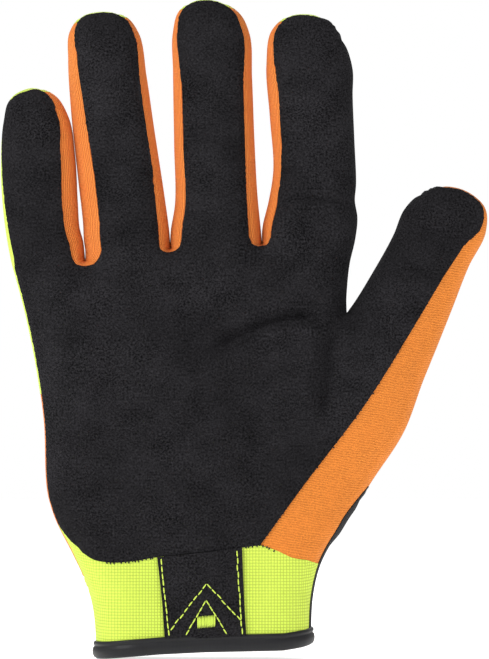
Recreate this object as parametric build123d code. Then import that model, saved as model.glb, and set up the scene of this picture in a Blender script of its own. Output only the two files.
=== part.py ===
"""Right-hand work glove, palm facing -Y, fingers pointing +Z, thumb on the +X side.

The origin is the centre of the hand opening at the lower edge of the cuff.
Each digit has a lower and an upper segment. A segment turns about the crease line on its palm face,
so the fabric on the back opens and nothing on the palm side closes up.
All sizes are millimetres and degrees.
"""

import math
import os
from dataclasses import dataclass

from build123d import *

os.makedirs("parts", exist_ok=True)

# ---- driving dimensions -------------------------------------------------------------------------
palm_length = 150.7        # opening to the web between middle and index
palm_wall = 1.2            # fabric and leather panels
flex_gap = 0.4             # running gap between two segments of a digit
web_gap = 1.0              # clearance between neighbouring fingers at the web
web_width = 3.2            # thickness of the folded fourchette at the bottom of a web
web_height = 7.0
side_band = 3.8            # width of a fourchette seen from the palm
corner_share = 0.46        # corner radius of a section as a share of its depth
knuckle_left = -70.0       # outer edge of the little finger at its base
palm_depth = 33.0          # deepest part of the hand, front to back
heel_height = 55.8         # widest part of the heel of the hand
heel_left, heel_right = -57.0, 52.0
cuff_width = 78.0
cuff_depth = 36.0
cuff_height = 36.0
cuff_tilt = 2.9            # the cuff's edge rises towards the thumb
binding_height = 6.6
binding_bulk = 0.8         # how far the binding stands proud of the cuff, inside and out
binding_grip = 4.6         # how deep the cuff's edge sits in the binding
fit_clearance = 0.08       # between stitched layers
tab_left, tab_right = -15.6, 14.6
tab_extra = 0.5            # the pull tab is thicker than the cuff
thumb_crotch_drop = 27.0   # thumb web below the index web
thumb_drop_across = 2.0    # rise of the thumb crease's inner end over the palm edge
strap_width = 21.0
strap_thickness = 1.6
strap_low = 9.5            # lower edge of the strap above the opening
strap_end_x = -27.0        # free end
strap_root_x = 36.0        # sewn end
anchor_length = 5.0        # sewn-down end of the strap
patch_thickness = 0.7      # hook patch and loop patch
patch_gap = 0.3
patch_margin = 2.5         # strap edge to hook patch edge
patch_length = 30.0
knuckle_pad_height = 24.0
knuckle_pad_thickness = 2.2
knuckle_pad_below = 13.0   # top of the pad below the finger creases
knuckle_pad_inset = 11.0   # ends of the pad in from the sides of the hand


@dataclass
class Digit:
    """One finger or thumb: sizes at its crease, at its middle joint and where its tip starts to round."""

    name: str
    widths: tuple
    depths: tuple
    length: float
    lean: float            # degrees, positive towards the thumb side
    flex_at: float         # height of the middle joint above the crease
    rise: float            # crease centre relative to palm_length
    curl: float            # forward drift of the tip
    left_band: bool        # a fourchette on the little-finger side
    right_band: bool       # a fourchette on the thumb side


PINKY = Digit("pinky", (25.8, 26.8, 25.0), (18.5, 17.0, 12.5), 63.6, -5.5, 27.0, -7.8, 3.5, False, True)
RING = Digit("ring", (30.6, 29.2, 27.4), (20.0, 18.0, 13.5), 87.5, -6.3, 36.0, -4.1, 5.0, True, True)
MIDDLE = Digit("middle", (32.6, 29.8, 28.0), (21.0, 18.5, 14.0), 88.0, -1.5, 37.0, -0.8, 5.5, True, True)
INDEX = Digit("index", (33.6, 32.4, 30.0), (21.0, 18.5, 14.0), 82.0, 0.4, 34.0, 0.2, 5.0, True, False)
FINGERS = [PINKY, RING, MIDDLE, INDEX]
THUMB = Digit("thumb", (35.6, 32.4, 30.0), (22.0, 20.0, 15.0), 56.8, 24.6, 26.0, 0.0, 4.0, False, False)

TIP_ROUND = 9.0            # the last stretch of a digit, where it closes
TIP_SHAPE = [(0.0, 1.0, 1.0), (0.55, 0.88, 0.80), (1.0, 0.58, 0.34)]
THUMB_FRONT_EDGE = [(0.0, 5.4), (26.0, 8.6), (60.0, 9.6)]   # black and terry boundary on the thumb

# Sections of the cuff and the heel of the hand: height over the opening, left edge, right edge, depth.
CUFF_SECTIONS = [
    (-9.0, -cuff_width / 2, cuff_width / 2, cuff_depth),
    (25.6, -cuff_width / 2 - 4.4, cuff_width / 2 + 1.4, cuff_depth - 1.0),
    (37.7, -cuff_width / 2 - 9.6, cuff_width / 2 + 5.8, palm_depth),
    (heel_height, heel_left, heel_right, palm_depth),
]
# Sections of the palm: down from the webs, left edge in from knuckle_left, right edge out from the
# index finger's outer side, depth less than palm_depth.
PALM_SECTIONS = [(57.3, 10.0, 5.7, 0.0), (31.6, 5.0, -2.7, 4.0), (10.5, 1.0, -2.3, 9.0)]
# Sections of the ball of the thumb: share of the way from the thumb crease to its end, shift
# outwards, width, depth.
BALL_SECTIONS = [(0.0, 0.0, 35.6, 22.0), (0.31, -1.8, 39.6, 27.0), (0.63, -2.4, 38.0, 30.0),
                 (1.0, -4.6, 28.4, 24.0)]
ball_end_height = 43.2     # the ball of the thumb runs down to this height over the opening

# Seam lines seen from the palm, little-finger side first.
CUFF_SEAM = [(-cuff_width / 2 - 14.0, cuff_height + 9.0), (-cuff_width / 2 - 4.0, cuff_height - 2.5),
             (-16.0, cuff_height - 2.5), (tab_right, cuff_height + 1.8), (21.0, cuff_height + 2.8),
             (cuff_width / 2 + 4.5, cuff_height - 5.6)]
TERRY_SEAM = [CUFF_SEAM[4], (34.0, cuff_height + 21.0), (50.0, cuff_height + 44.0)]
WRIST_SEAM = [(-30.0, cuff_height - 2.0), (22.0, cuff_height + 10.0), (41.0, cuff_height + 24.0)]
KNUCKLE_SEAM = [(-30.0, palm_length - 52.7), (0.0, palm_length - 50.7), (30.0, palm_length - 54.7)]
terry_back_edge = 38.0     # the terry wraps this far onto the back, measured from the middle
thumb_wrap = 4.0           # the leather wraps this far round the inner side of the thumb
crease_overrun = 4.0       # forms run past a crease before they are cut there
knuckle_overrun = 9.0
palm_swell = 3.7           # the middle of the palm reaches this far beyond the index finger's outer side
crotch_clearance = 0.6     # the thumb crease is cut this far beyond the thumb's inner side
loop_extra = 8.0           # the loop patch is longer than the hook patch

FAR = 400.0                # larger than anything here
BASE = (Align.CENTER, Align.CENTER, Align.MIN)


# ---- frames and sections ------------------------------------------------------------------------
def lean_vectors(lean):
    """Unit vectors across and along a digit that leans by this angle."""
    a = math.radians(lean)
    return (math.cos(a), 0, -math.sin(a)), (math.sin(a), 0, math.cos(a))


def digit_frame(x, z, lean):
    """Section plane at a digit's crease: X across, Y through the hand, normal along the digit."""
    across, along = lean_vectors(lean)
    return Plane(origin=(x, 0, z), x_dir=across, z_dir=along)


def front_plane(frame):
    """The same place seen from the palm: X across, Y along the digit."""
    return Plane(origin=frame.origin, x_dir=frame.x_dir, z_dir=(0, -1, 0))


def section(place, width, depth):
    """Rounded section of a tube of fabric."""
    return place * RectangleRounded(width, depth, corner_share * min(width, depth))


def prism(points, plane=Plane.XZ):
    """A region seen from the palm, as a solid through the whole hand."""
    face = make_face(Polyline(*points, close=True).edges())
    return extrude(plane * face, amount=FAR / 2, both=True)


def y_slab(low, high):
    """Everything between two depths."""
    return Pos(0, (low + high) / 2, 0) * Box(FAR * 2, high - low, FAR * 2)


def one_solid(shape):
    """The largest solid of a cut, without slivers."""
    return max(shape.solids(), key=lambda s: s.volume)


# ---- digits -------------------------------------------------------------------------------------
def width_at(digit, v):
    """Outer width at a height above the crease, before the tip rounds."""
    stops = (0.0, digit.flex_at, digit.length - TIP_ROUND)
    return interpolate(v, stops, digit.widths)


def depth_at(digit, v):
    """Outer depth at a height above the crease, before the tip rounds."""
    stops = (0.0, digit.flex_at, digit.length - TIP_ROUND)
    return interpolate(v, stops, digit.depths)


def interpolate(v, stops, values):
    """Straight-line interpolation, extended beyond both ends."""
    for k in range(1, len(stops)):
        if v <= stops[k] or k == len(stops) - 1:
            t = (v - stops[k - 1]) / (stops[k] - stops[k - 1])
            return values[k - 1] + t * (values[k] - values[k - 1])
    return values[-1]


def drift_at(digit, v):
    """How far the digit's centre line has moved towards the palm side."""
    return -digit.curl * (max(v, 0.0) / digit.length) ** 2


def digit_tube(digit, frame, inset):
    """A digit as a closed tube, smaller all round by inset."""
    straight = digit.length - TIP_ROUND
    stations = [(v, width_at(digit, v), depth_at(digit, v)) for v in (0.0, digit.flex_at, straight)]
    for share, w, d in TIP_SHAPE[1:]:
        stations.append((straight + share * TIP_ROUND, digit.widths[2] * w, digit.depths[2] * d))
    top = digit.length - inset
    stations = [(min(v, top), w, d) for v, w, d in stations]
    sections = []
    for k, (v, w, d) in enumerate(stations):
        low = v - (inset if k == 0 else 0.0)
        place = frame.offset(low) * Pos(0, drift_at(digit, v), 0)
        sections.append(section(place, w - 2 * inset, max(d - 2 * inset, 1.2)))
    return loft(sections, ruled=True)


def digit_shell(digit, frame):
    """The digit's fabric, all panels in one."""
    return digit_tube(digit, frame, 0.0) - digit_tube(digit, frame, palm_wall)


def along_slab(frame, low, high):
    """The stretch of a digit between two heights."""
    return frame.offset(low) * Box(FAR, FAR, high - low, align=BASE)


def band_edge(digit, v, has_band):
    """Distance from the centre line to the seam, or far outside where the panel wraps round."""
    return width_at(digit, v) / 2 - side_band if has_band else FAR / 4


def face_region(digit, frame):
    """The region between a finger's two seams, seen from the palm."""
    stops = (-crease_overrun, digit.flex_at, digit.length + crease_overrun)
    right = [(band_edge(digit, v, digit.right_band), v) for v in stops]
    left = [(-band_edge(digit, v, digit.left_band), v) for v in reversed(stops)]
    return prism(right + left, front_plane(frame))


def finger_panels(digit, frame):
    """Front, back and fourchettes of a finger as full-length solids."""
    shell = digit_shell(digit, frame)
    middle = drift_at(digit, digit.length)
    region = face_region(digit, frame)
    if digit.right_band:
        front = shell & region & y_slab(-FAR, middle)
        back = shell & region & y_slab(middle, FAR)
    else:
        stops = (-crease_overrun, digit.flex_at, digit.length + crease_overrun)
        edge = [(band_edge(digit, v, True), v) for v in stops]
        inner = prism(edge + [(-FAR / 4, stops[-1]), (-FAR / 4, stops[0])], front_plane(frame))
        back = shell & region & inner & y_slab(middle, FAR)
        front = (shell & region & y_slab(-FAR, middle)) + ((shell & region & y_slab(middle, FAR)) - inner)
    panels = {"front": front, "back": back}
    bands = shell - region
    half = FAR / 2
    for side, wanted, sign in (("inner", digit.left_band, -1), ("outer", digit.right_band, 1)):
        if wanted:
            beside = front_plane(frame) * Pos(sign * half, 0) * Rectangle(FAR, FAR)
            panels[f"fourchette_{side}"] = bands & extrude(beside, amount=half, both=True)
    return panels


def thumb_panels(frame):
    """Leather front and terry back of the thumb."""
    shell = digit_shell(THUMB, frame)
    wrap = drift_at(THUMB, THUMB.length) + thumb_wrap
    edge = [(x, v) for v, x in THUMB_FRONT_EDGE]
    low, high = -crease_overrun, THUMB.length + crease_overrun
    edge = [(edge[0][0], low)] + edge[1:-1] + [(edge[-1][0], high)]
    region = prism(edge + [(-FAR / 4, high), (-FAR / 4, low)], front_plane(frame))
    front = shell & region & y_slab(-FAR, wrap)
    back = (shell & y_slab(wrap, FAR)) + ((shell & y_slab(-FAR, wrap)) - region)
    return {"front": front, "back": back}


def digit_nodes(digit, frame, panels):
    """Each panel cut at the middle joint into a lower and an upper piece."""
    half = flex_gap / 2
    lower = along_slab(frame, half, digit.flex_at - half)
    upper = along_slab(frame, digit.flex_at + half, digit.length + crease_overrun)
    nodes = {}
    for part, solid in panels.items():
        nodes[f"{digit.name}_{part}_lower"] = one_solid(solid & lower)
        nodes[f"{digit.name}_{part}_upper"] = one_solid(solid & upper)
    return nodes


def finger_frames():
    """Place each finger beside the last one, from the little finger to the index."""
    frames, x = {}, knuckle_left
    for digit in FINGERS:
        half = digit.widths[0] / 2 * math.cos(math.radians(digit.lean))
        frames[digit.name] = digit_frame(x + half, palm_length + digit.rise, digit.lean)
        x += 2 * half + web_gap
    return frames, x - web_gap


def crease_line(frames):
    """The finger creases as one line across the hand, little finger first."""
    points = []
    for digit in FINGERS:
        frame = frames[digit.name]
        reach = (digit.widths[0] + web_gap) / 2
        for sign in (-1, 1):
            end = frame.origin + frame.x_dir * (sign * reach)
            points.append((end.X, end.Z))
    return points


# ---- hand ---------------------------------------------------------------------------------------
def thumb_frame(index_edge):
    """The thumb hangs from the web below the index finger."""
    across, _ = lean_vectors(THUMB.lean)
    half = THUMB.widths[0] / 2
    x = index_edge - thumb_drop_across + across[0] * half
    z = palm_length - thumb_crotch_drop + across[2] * half
    return digit_frame(x, z, THUMB.lean)


def lofted_bands(stations, inset):
    """A closed form through horizontal sections, smaller all round by inset."""
    sections = []
    for height, left, right, depth in stations:
        place = Plane.XY * Pos((left + right) / 2, 0, height)
        sections.append(section(place, right - left - 2 * inset, depth - 2 * inset))
    return loft(sections, ruled=True)


def palm_stations(index_edge):
    """Sections from the cuff to just past the finger creases."""
    palm = [(palm_length - down, knuckle_left + left, index_edge + right, palm_depth - less)
            for down, left, right, less in PALM_SECTIONS]
    wide = palm[0]
    middle = ((heel_height + wide[0]) / 2, (heel_left + wide[1]) / 2, index_edge + palm_swell, palm_depth)
    top = (palm_length + knuckle_overrun, knuckle_left - 0.5, index_edge + 0.5, FINGERS[1].depths[0] + 2.0)
    return CUFF_SECTIONS + [middle] + palm + [top]


def hand_form(thumb, index_edge, inset):
    """The closed form of palm, ball of the thumb and cuff, smaller all round by inset."""
    length = (thumb.origin.Z - ball_end_height) / math.cos(math.radians(THUMB.lean))
    ball = []
    for share, shift, width, depth in BALL_SECTIONS:
        down = share * length if share > 0 else -crease_overrun
        place = thumb.offset(-down) * Pos(shift, 0, 0)
        ball.append(section(place, width - 2 * inset, depth - 2 * inset))
    return lofted_bands(palm_stations(index_edge), inset) + loft(ball, ruled=True)


def below_creases(frames, thumb):
    """Everything on the hand's side of the finger and thumb creases."""
    line = [(x, z - flex_gap / 2) for x, z in crease_line(frames)]
    crease = thumb.origin - thumb.z_dir * (flex_gap / 2)
    inner = crease - thumb.x_dir * (THUMB.widths[0] / 2 + crotch_clearance)
    outer = crease + thumb.x_dir * FAR / 4
    line.insert(0, (-FAR / 2, line[0][1]))
    above_web = (inner.X, line[-1][1])
    return prism(line[:-1] + [above_web, (inner.X, inner.Z), (outer.X, outer.Z), (FAR / 2, -FAR / 4),
                              (-FAR / 2, -FAR / 4)])


def cuff_frame():
    """Plane of the hand opening, tilted like the cuff's edge."""
    across, along = lean_vectors(-cuff_tilt)
    return Plane(origin=(0, 0, 0), x_dir=across, z_dir=along)


def cuff_ring(low, high, grow_out, grow_in):
    """A band round the cuff between two heights above the opening."""
    slab = cuff_frame().offset(low) * Box(FAR, FAR, high - low, align=BASE)
    return (lofted_bands(CUFF_SECTIONS, -grow_out) - lofted_bands(CUFF_SECTIONS, grow_in)) & slab


def below_line(line):
    """Everything under a seam line that runs out level on both sides."""
    ends = [(-FAR / 4, line[0][1])], [(FAR / 4, line[-1][1])]
    return prism(ends[0] + line + ends[1] + [(FAR / 4, -FAR / 8), (-FAR / 4, -FAR / 8)])


def terry_region(thumb):
    """The thumb side of the seam between palm leather and terry."""
    edge = thumb.origin + thumb.x_dir * THUMB_FRONT_EDGE[0][1]
    past = edge + thumb.z_dir * FAR / 8
    return prism(TERRY_SEAM + [(edge.X, edge.Z), (past.X, past.Z), (FAR / 4, past.Z), (FAR / 4, -FAR / 8),
                               (TERRY_SEAM[0][0], -FAR / 8)])


def tab_region(margin=0.0):
    """The pull tab seen from the palm; it runs from the palm's lower seam into the binding."""
    lean = math.tan(math.radians(cuff_tilt)) * cuff_height / 2
    return prism([(tab_left - margin - lean, palm_length), (tab_left - margin + lean, -FAR / 8),
                  (tab_right + margin + lean, -FAR / 8), (tab_right + margin - lean, palm_length)])


def hand_nodes(frames, thumb, index_edge):
    """Every piece that stays with the hand."""
    outer = hand_form(thumb, index_edge, 0.0)
    inner = hand_form(thumb, index_edge, palm_wall)
    edge = cuff_frame().offset(binding_height - binding_grip)
    keep = below_creases(frames, thumb) & (edge * Box(FAR, FAR, FAR, align=BASE))
    shell = (outer - inner) & keep
    cuff, terry = below_line(CUFF_SEAM), terry_region(thumb)
    wrist, lower_back = below_line(WRIST_SEAM), below_line(KNUCKLE_SEAM)
    terry_back = terry - left_of(terry_back_edge)
    front = shell & y_slab(-FAR, 0)
    back = shell & y_slab(0, FAR)
    cuff_front = front & cuff
    palm = front - cuff
    nodes = {
        "palm_panel": palm - terry,
        "thumb_terry_base": (palm & terry) + ((back & terry_back) - wrist),
        "cuff_front_pinky_side": (cuff_front - tab_region()) & left_of(0.0),
        "cuff_front_thumb_side": (cuff_front - tab_region()) - left_of(0.0),
        "back_knuckle_panel": back - lower_back - terry_back,
        "back_lower_panel": (back & lower_back) - wrist - terry_back,
        "cuff_back_panel": back & wrist,
    }
    tab_shell = hand_form(thumb, index_edge, -tab_extra) - hand_form(thumb, index_edge, palm_wall)
    nodes["pull_tab"] = tab_shell & keep & y_slab(-FAR, 0) & cuff & tab_region()
    solids = {name: one_solid(shape) for name, shape in nodes.items()}
    creases = crease_line(frames)
    for k, name in enumerate(("pinky_ring", "ring_middle", "middle_index")):
        (x0, z0), (x1, z1) = creases[2 * k + 1], creases[2 * k + 2]
        place = Pos((x0 + x1) / 2, 0, min(z0, z1) - flex_gap - web_height / 2)
        solids[f"web_{name}"] = one_solid(inner & (place * Box(web_width, FAR, web_height)) & keep)
    return solids


def left_of(x):
    """Everything on the little-finger side of a line."""
    return Pos(x - FAR / 2, 0, 0) * Box(FAR, FAR * 2, FAR * 2)


# ---- cuff binding, strap and pads ---------------------------------------------------------------
def binding():
    """Folded edge binding with the slot that the cuff's edge sits in."""
    solid = cuff_ring(0.0, binding_height, binding_bulk + tab_extra, palm_wall + binding_bulk)
    slot = cuff_ring(binding_height - binding_grip - fit_clearance, binding_height + 1.0,
                     fit_clearance, palm_wall + fit_clearance)
    tab_slot = cuff_ring(binding_height - binding_grip - fit_clearance, binding_height + 1.0,
                         tab_extra + fit_clearance, palm_wall + fit_clearance)
    return solid - slot - (tab_slot & tab_region(fit_clearance) & y_slab(-FAR, 0))


def strap_band(low, high, inside, outside, left, right):
    """A piece of a band on the back of the cuff, between two heights, two offsets and two edges."""
    band = cuff_ring(low, high, outside, -inside)
    window = Pos((left + right) / 2, FAR / 2, 0) * Box(right - left, FAR, FAR)
    return one_solid(band & window)


def strap_nodes():
    """Closure strap with its sewn end, and the hook and loop patches that hold it."""
    high = strap_low + strap_width
    base = patch_thickness * 2 + patch_gap
    margin_low, margin_high = strap_low + patch_margin, high - patch_margin
    free_edge = strap_end_x + patch_margin
    return {
        "strap_anchor": strap_band(strap_low, high, fit_clearance, base + strap_thickness,
                                   strap_root_x - anchor_length, strap_root_x),
        "strap": strap_band(strap_low, high, base, base + strap_thickness,
                            strap_end_x, strap_root_x - anchor_length - flex_gap),
        "hook_patch": strap_band(margin_low, margin_high, patch_thickness + patch_gap, base - fit_clearance,
                                 free_edge, free_edge + patch_length),
        "loop_patch": strap_band(margin_low, margin_high, fit_clearance, patch_thickness,
                                 free_edge, free_edge + patch_length + loop_extra),
    }


def knuckle_pad(frames, thumb, index_edge):
    """Padded panel sewn over the knuckles."""
    outside = hand_form(thumb, index_edge, -knuckle_pad_thickness)
    inside = hand_form(thumb, index_edge, -fit_clearance)
    line = crease_line(frames)
    top = [(x, z - knuckle_pad_below) for x, z in line]
    left, right = top[0][0] + knuckle_pad_inset, top[-1][0] - knuckle_pad_inset
    middle = top[1:-1]
    upper = [(left, top[0][1])] + middle + [(right, top[-1][1])]
    lower = [(x, z - knuckle_pad_height) for x, z in reversed(upper)]
    return one_solid((outside - inside) & prism(upper + lower) & y_slab(0, FAR))


def build():
    """All nodes by name."""
    frames, index_edge = finger_frames()
    thumb = thumb_frame(index_edge)
    nodes = hand_nodes(frames, thumb, index_edge)
    nodes["cuff_binding"] = one_solid(binding())
    nodes.update(strap_nodes())
    nodes["knuckle_pad"] = knuckle_pad(frames, thumb, index_edge)
    for digit in FINGERS:
        nodes.update(digit_nodes(digit, frames[digit.name], finger_panels(digit, frames[digit.name])))
    nodes.update(digit_nodes(THUMB, thumb, thumb_panels(thumb)))
    return nodes


for node_name, node_solid in build().items():
    export_step(node_solid, f"parts/{node_name}.step")
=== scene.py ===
import math

import bmesh
import bpy
import numpy as np
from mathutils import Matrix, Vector, geometry, noise


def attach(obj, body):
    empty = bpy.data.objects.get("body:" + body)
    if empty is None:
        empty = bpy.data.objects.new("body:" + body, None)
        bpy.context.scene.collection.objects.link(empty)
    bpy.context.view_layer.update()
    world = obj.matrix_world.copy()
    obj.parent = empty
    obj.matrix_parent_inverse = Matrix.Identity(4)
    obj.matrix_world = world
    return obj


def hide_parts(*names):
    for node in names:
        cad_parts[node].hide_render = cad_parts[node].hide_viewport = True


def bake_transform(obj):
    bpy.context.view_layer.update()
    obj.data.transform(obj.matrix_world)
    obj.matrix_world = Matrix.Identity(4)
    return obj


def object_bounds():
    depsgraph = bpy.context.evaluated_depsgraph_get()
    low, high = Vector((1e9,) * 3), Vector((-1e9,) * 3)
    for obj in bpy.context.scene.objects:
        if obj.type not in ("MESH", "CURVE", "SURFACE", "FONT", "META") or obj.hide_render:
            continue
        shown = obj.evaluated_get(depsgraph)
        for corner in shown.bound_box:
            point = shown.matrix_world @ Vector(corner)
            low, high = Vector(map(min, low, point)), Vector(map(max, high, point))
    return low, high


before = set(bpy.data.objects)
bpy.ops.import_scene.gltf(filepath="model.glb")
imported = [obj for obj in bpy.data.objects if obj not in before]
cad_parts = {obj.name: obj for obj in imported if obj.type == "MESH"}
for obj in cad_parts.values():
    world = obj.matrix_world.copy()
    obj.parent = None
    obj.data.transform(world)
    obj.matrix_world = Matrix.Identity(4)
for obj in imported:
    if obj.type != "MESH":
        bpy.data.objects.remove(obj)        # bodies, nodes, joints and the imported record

bl_info = {
    "name": "Work Glove",
    "version": (1, 0, 0),
    "blender": (4, 5, 0),
    "location": "3D View > Sidebar > Glove",
    "description": "Builds a right-hand work glove from its sewn panels",
    "category": "Add Mesh",
}

CAD_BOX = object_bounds()
MM = 0.001

# ---- the cut pattern, in millimetres, seen from the palm -----------------------------------------
# Each digit: crease centre (x, z), lean in degrees, length, middle crease, forward curl, then its
# outline as (across, along) points from the little-finger side over the tip to the thumb side.
DIGITS = {
    "pinky": dict(at=(-57.2, 142.9), lean=-5.5, length=63.6, flex=27.0, curl=3.5, outline=[
        (-13.4, 0.5), (-14.6, 18), (-13.9, 36), (-11.3, 52), (-7.5, 61.0), (0.8, 63.7), (8.4, 60.2), (12.6, 51.5),
        (13.5, 38), (12.8, 20), (12.6, 11), (13.4, 6), (13.5, 2)]),
    "ring": dict(at=(-28.1, 146.6), lean=-6.3, length=87.5, flex=36.0, curl=5.0, outline=[
        (-15.4, 2), (-15.5, 5), (-15.1, 12), (-15.1, 27), (-14.9, 54), (-13.9, 72), (-12.3, 82), (-8.0, 86.9),
        (1.0, 88.2), (9.4, 85.0),
        (12.9, 79), (14.0, 63), (14.6, 45), (15.7, 18), (16.0, 5), (15.9, 2)]),
    "middle": dict(at=(4.4, 149.9), lean=-1.5, length=88.0, flex=37.0, curl=5.5, outline=[
        (-16.7, 2), (-16.4, 5), (-14.7, 14), (-14.4, 36), (-14.1, 63), (-13.8, 77), (-11.3, 85), (-4.8, 88.7),
        (3.8, 88.0),
        (11.0, 83.4), (14.3, 76), (14.8, 60), (15.1, 36), (15.7, 16), (16.5, 5), (16.7, 2)]),
    "index": dict(at=(38.5, 150.9), lean=0.4, length=82.0, flex=34.0, curl=5.0, outline=[
        (-17.2, 2), (-16.9, 5), (-14.8, 14), (-13.2, 25), (-14.6, 45), (-16.0, 64), (-14.2, 76.4), (-9.2, 81.2),
        (-1.0, 82.5),
        (6.7, 79.9), (11.3, 74), (15.3, 62.5), (15.4, 53), (16.2, 36), (16.9, 20), (16.5, 14.5), (17.5, 8),
        (16.8, 0.5)]),
    "thumb": dict(at=(69.5, 116.3), lean=24.6, length=56.8, flex=26.0, curl=4.0, outline=[
        (-17.9, 2), (-15.8, 18), (-14.7, 33), (-15.0, 43), (-12.1, 50.7), (-6.1, 56.6), (3.0, 58.7), (11.6, 55.8),
        (15.4, 48), (15.0, 34), (15.9, 18), (16.8, 0.5)]),
}
ORDER = ["pinky", "ring", "middle", "index", "thumb"]
WEB_BOTTOMS = [(-43.7, 143.2), (-12.4, 147.6), (21.3, 149.4)]
THUMB_CROTCH = (52.4, 123.6)
LEFT_SIDE = [(-39.4, -40), (-39.5, 0), (-41.6, 19), (-48.8, 36), (-53.4, 45), (-57.2, 56), (-59.0, 85),
             (-62.2, 107), (-66.0, 125), (-68.9, 136)]
INDEX_SIDE = [(53.2, 142), (52.3, 134), (52.0, 127)]
THUMB_SIDE = [(80.6, 99), (73.4, 80), (61.9, 62.3), (51.3, 45.3), (43.8, 34), (40.4, 22), (39.3, 0), (39.2, -40)]
SAMPLE = 0.7               # spacing of points along every edge
LATTICE = 1.15             # spacing of points inside a panel

# Width of the orange band seen from the palm, from crease to tip, on either side of a finger.
BANDS = {
    "pinky": ((1.7, 1.2, 0.5, 0.1), (5.0, 5.8, 5.2, 2.8)),
    "ring": ((6.3, 6.4, 5.0, 2.7), (4.4, 3.0, 3.0, 1.9)),
    "middle": ((4.6, 3.6, 3.2, 1.7), (5.0, 3.8, 3.3, 2.4)),
    "index": ((3.4, 3.0, 4.2, 1.9), (0, 0, 0, 0)),
    "thumb": ((0, 0, 0, 0), (7, 7, 5, 2)),
}
WEB_DEPTHS = (2.4, 1.7, 1.0)   # knit below the bottom of the gap between two fingers
BACK_BAND = 4.2            # how far a fourchette runs onto the back
WRAP = 3.4                 # how far leather wraps onto the back
RIM = 3.2                  # the rounded edge of the form
SPLIT_DROP = 11.5          # how far below its middle crease a digit is divided into lower and upper
UNDERLAP = 1.3             # how far the thumb's towelling runs on under the leather
INSET = 5.4                # where a panel's lattice takes over from the bands along its edge
EDGE_SHARES = (0, 0.22, 0.42, 0.6, 0.76, 0.88, 0.96, 1.0)   # steps between the two

# How far each layer lies off the form, so that the upper layer is the one that shows.
LEATHER_LIFT, CLOTH_LIFT, KNIT_LIFT, NEOPRENE_LIFT, TAB_LIFT = 0.45, 0.15, 0.05, 0.3, 1.15

# Heights at which seams meet the glove's sides: little-finger side, thumb side.
CUFF_ENDS, PALM_ENDS, WRIST_ENDS = (0.8, 4.0), (34.6, 31.6), (25.0, 60.0)
PALM_CORNER, KNUCKLE_END = 46.0, 94.0

# Seams, little-finger side first.
CUFF_SEAM = [(-40.3, 33.9), (-34.2, 32.7), (-26.3, 33.1), (-17.5, 34.6), (14.6, 38.2), (20.6, 39.0)]
CUFF_SEAM_THUMB = [(20.6, 39.0), (27.0, 36.9), (32.5, 34.4)]
TERRY_SEAM = [(20.6, 39.0), (36.6, 61.0), (60.0, 92.0), (78.5, 121.7), (86.9, 135.8)]
THUMB_TIP_SEAM = (146.0, 165.0)     # heights between which that seam follows the thumb's outer edge
KNUCKLE_SEAM = [(-30, 98), (0, 100), (38, 97)]
WRIST_SEAM = [(-30, 34), (22, 46), (38, 57)]
SIDE_SEAM = [(38, 57), (38, 97)]
FORK_SEAM = [(38, 97), (45, 110)]
HEEL_SEAM = [(38, 57), (50, 59)]
CUFF_DEPTH = 36.0
CUFF_LEFT, CUFF_RIGHT = -39.5, 39.2
CUFF_CORNER, CUFF_SQUARE = 17.0, 2.3   # reach and squareness of the cuff's rounded corners
SOFT_REACH = 13.0          # how far from an edge the form keeps swelling
SWELL = 1.52


def lean_axes(name):
    a = math.radians(DIGITS[name]["lean"])
    return np.array([math.cos(a), -math.sin(a)]), np.array([math.sin(a), math.cos(a)])


def digit_point(name, across, along):
    """A digit's own (across, along) as (x, z)."""
    side, up = lean_axes(name)
    return np.array(DIGITS[name]["at"]) + side * across + up * along


def along_digit(name, xz):
    """How far (x, z) points lie above a digit's crease."""
    _, up = lean_axes(name)
    return (np.asarray(xz) - np.array(DIGITS[name]["at"])) @ up


def smooth_line(points, step):
    """A curve through the points with evenly spaced samples."""
    p = np.array(points, float)
    gap = np.maximum(np.linalg.norm(np.diff(p, axis=0), axis=1), 1e-6) ** 0.75
    slope = np.diff(p, axis=0) / gap[:, None]
    m = np.vstack([slope[:1], (slope[:-1] * gap[1:, None] + slope[1:] * gap[:-1, None])
                   / (gap[:-1] + gap[1:])[:, None], slope[-1:]])
    out = []
    for k in range(len(p) - 1):
        t = np.linspace(0, 1, 30, endpoint=False)[:, None]
        out.append((2 * t ** 3 - 3 * t ** 2 + 1) * p[k] + (t ** 3 - 2 * t ** 2 + t) * gap[k] * m[k]
                   + (3 * t ** 2 - 2 * t ** 3) * p[k + 1] + (t ** 3 - t ** 2) * gap[k] * m[k + 1])
    return resample(np.vstack(out + [p[-1:]]), step)


def resample(line, step):
    """Evenly spaced points on a polyline, both ends kept."""
    line = np.asarray(line, float)
    seg = np.linalg.norm(np.diff(line, axis=0), axis=1)
    s = np.concatenate([[0], np.cumsum(seg)])
    n = max(2, int(round(s[-1] / step)) + 1)
    t = np.linspace(0, s[-1], n)
    return np.stack([np.interp(t, s, line[:, k]) for k in range(line.shape[1])], axis=1)


def size(key):
    """One of the glove's sizes from the settings, in millimetres."""
    return getattr(bpy.context.scene.glove_sizes, key) / MM


def ease(t):
    """A soft step from 0 to 1."""
    t = np.clip(t, 0, 1)
    return t * t * (3 - 2 * t)


def cuff_round(edge):
    """The cuff's depth as a share of its full depth, at a distance from its side."""
    d = np.clip(edge / CUFF_CORNER, 0, 1)
    return (1 - (1 - d) ** CUFF_SQUARE) ** (1 / CUFF_SQUARE)


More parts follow.
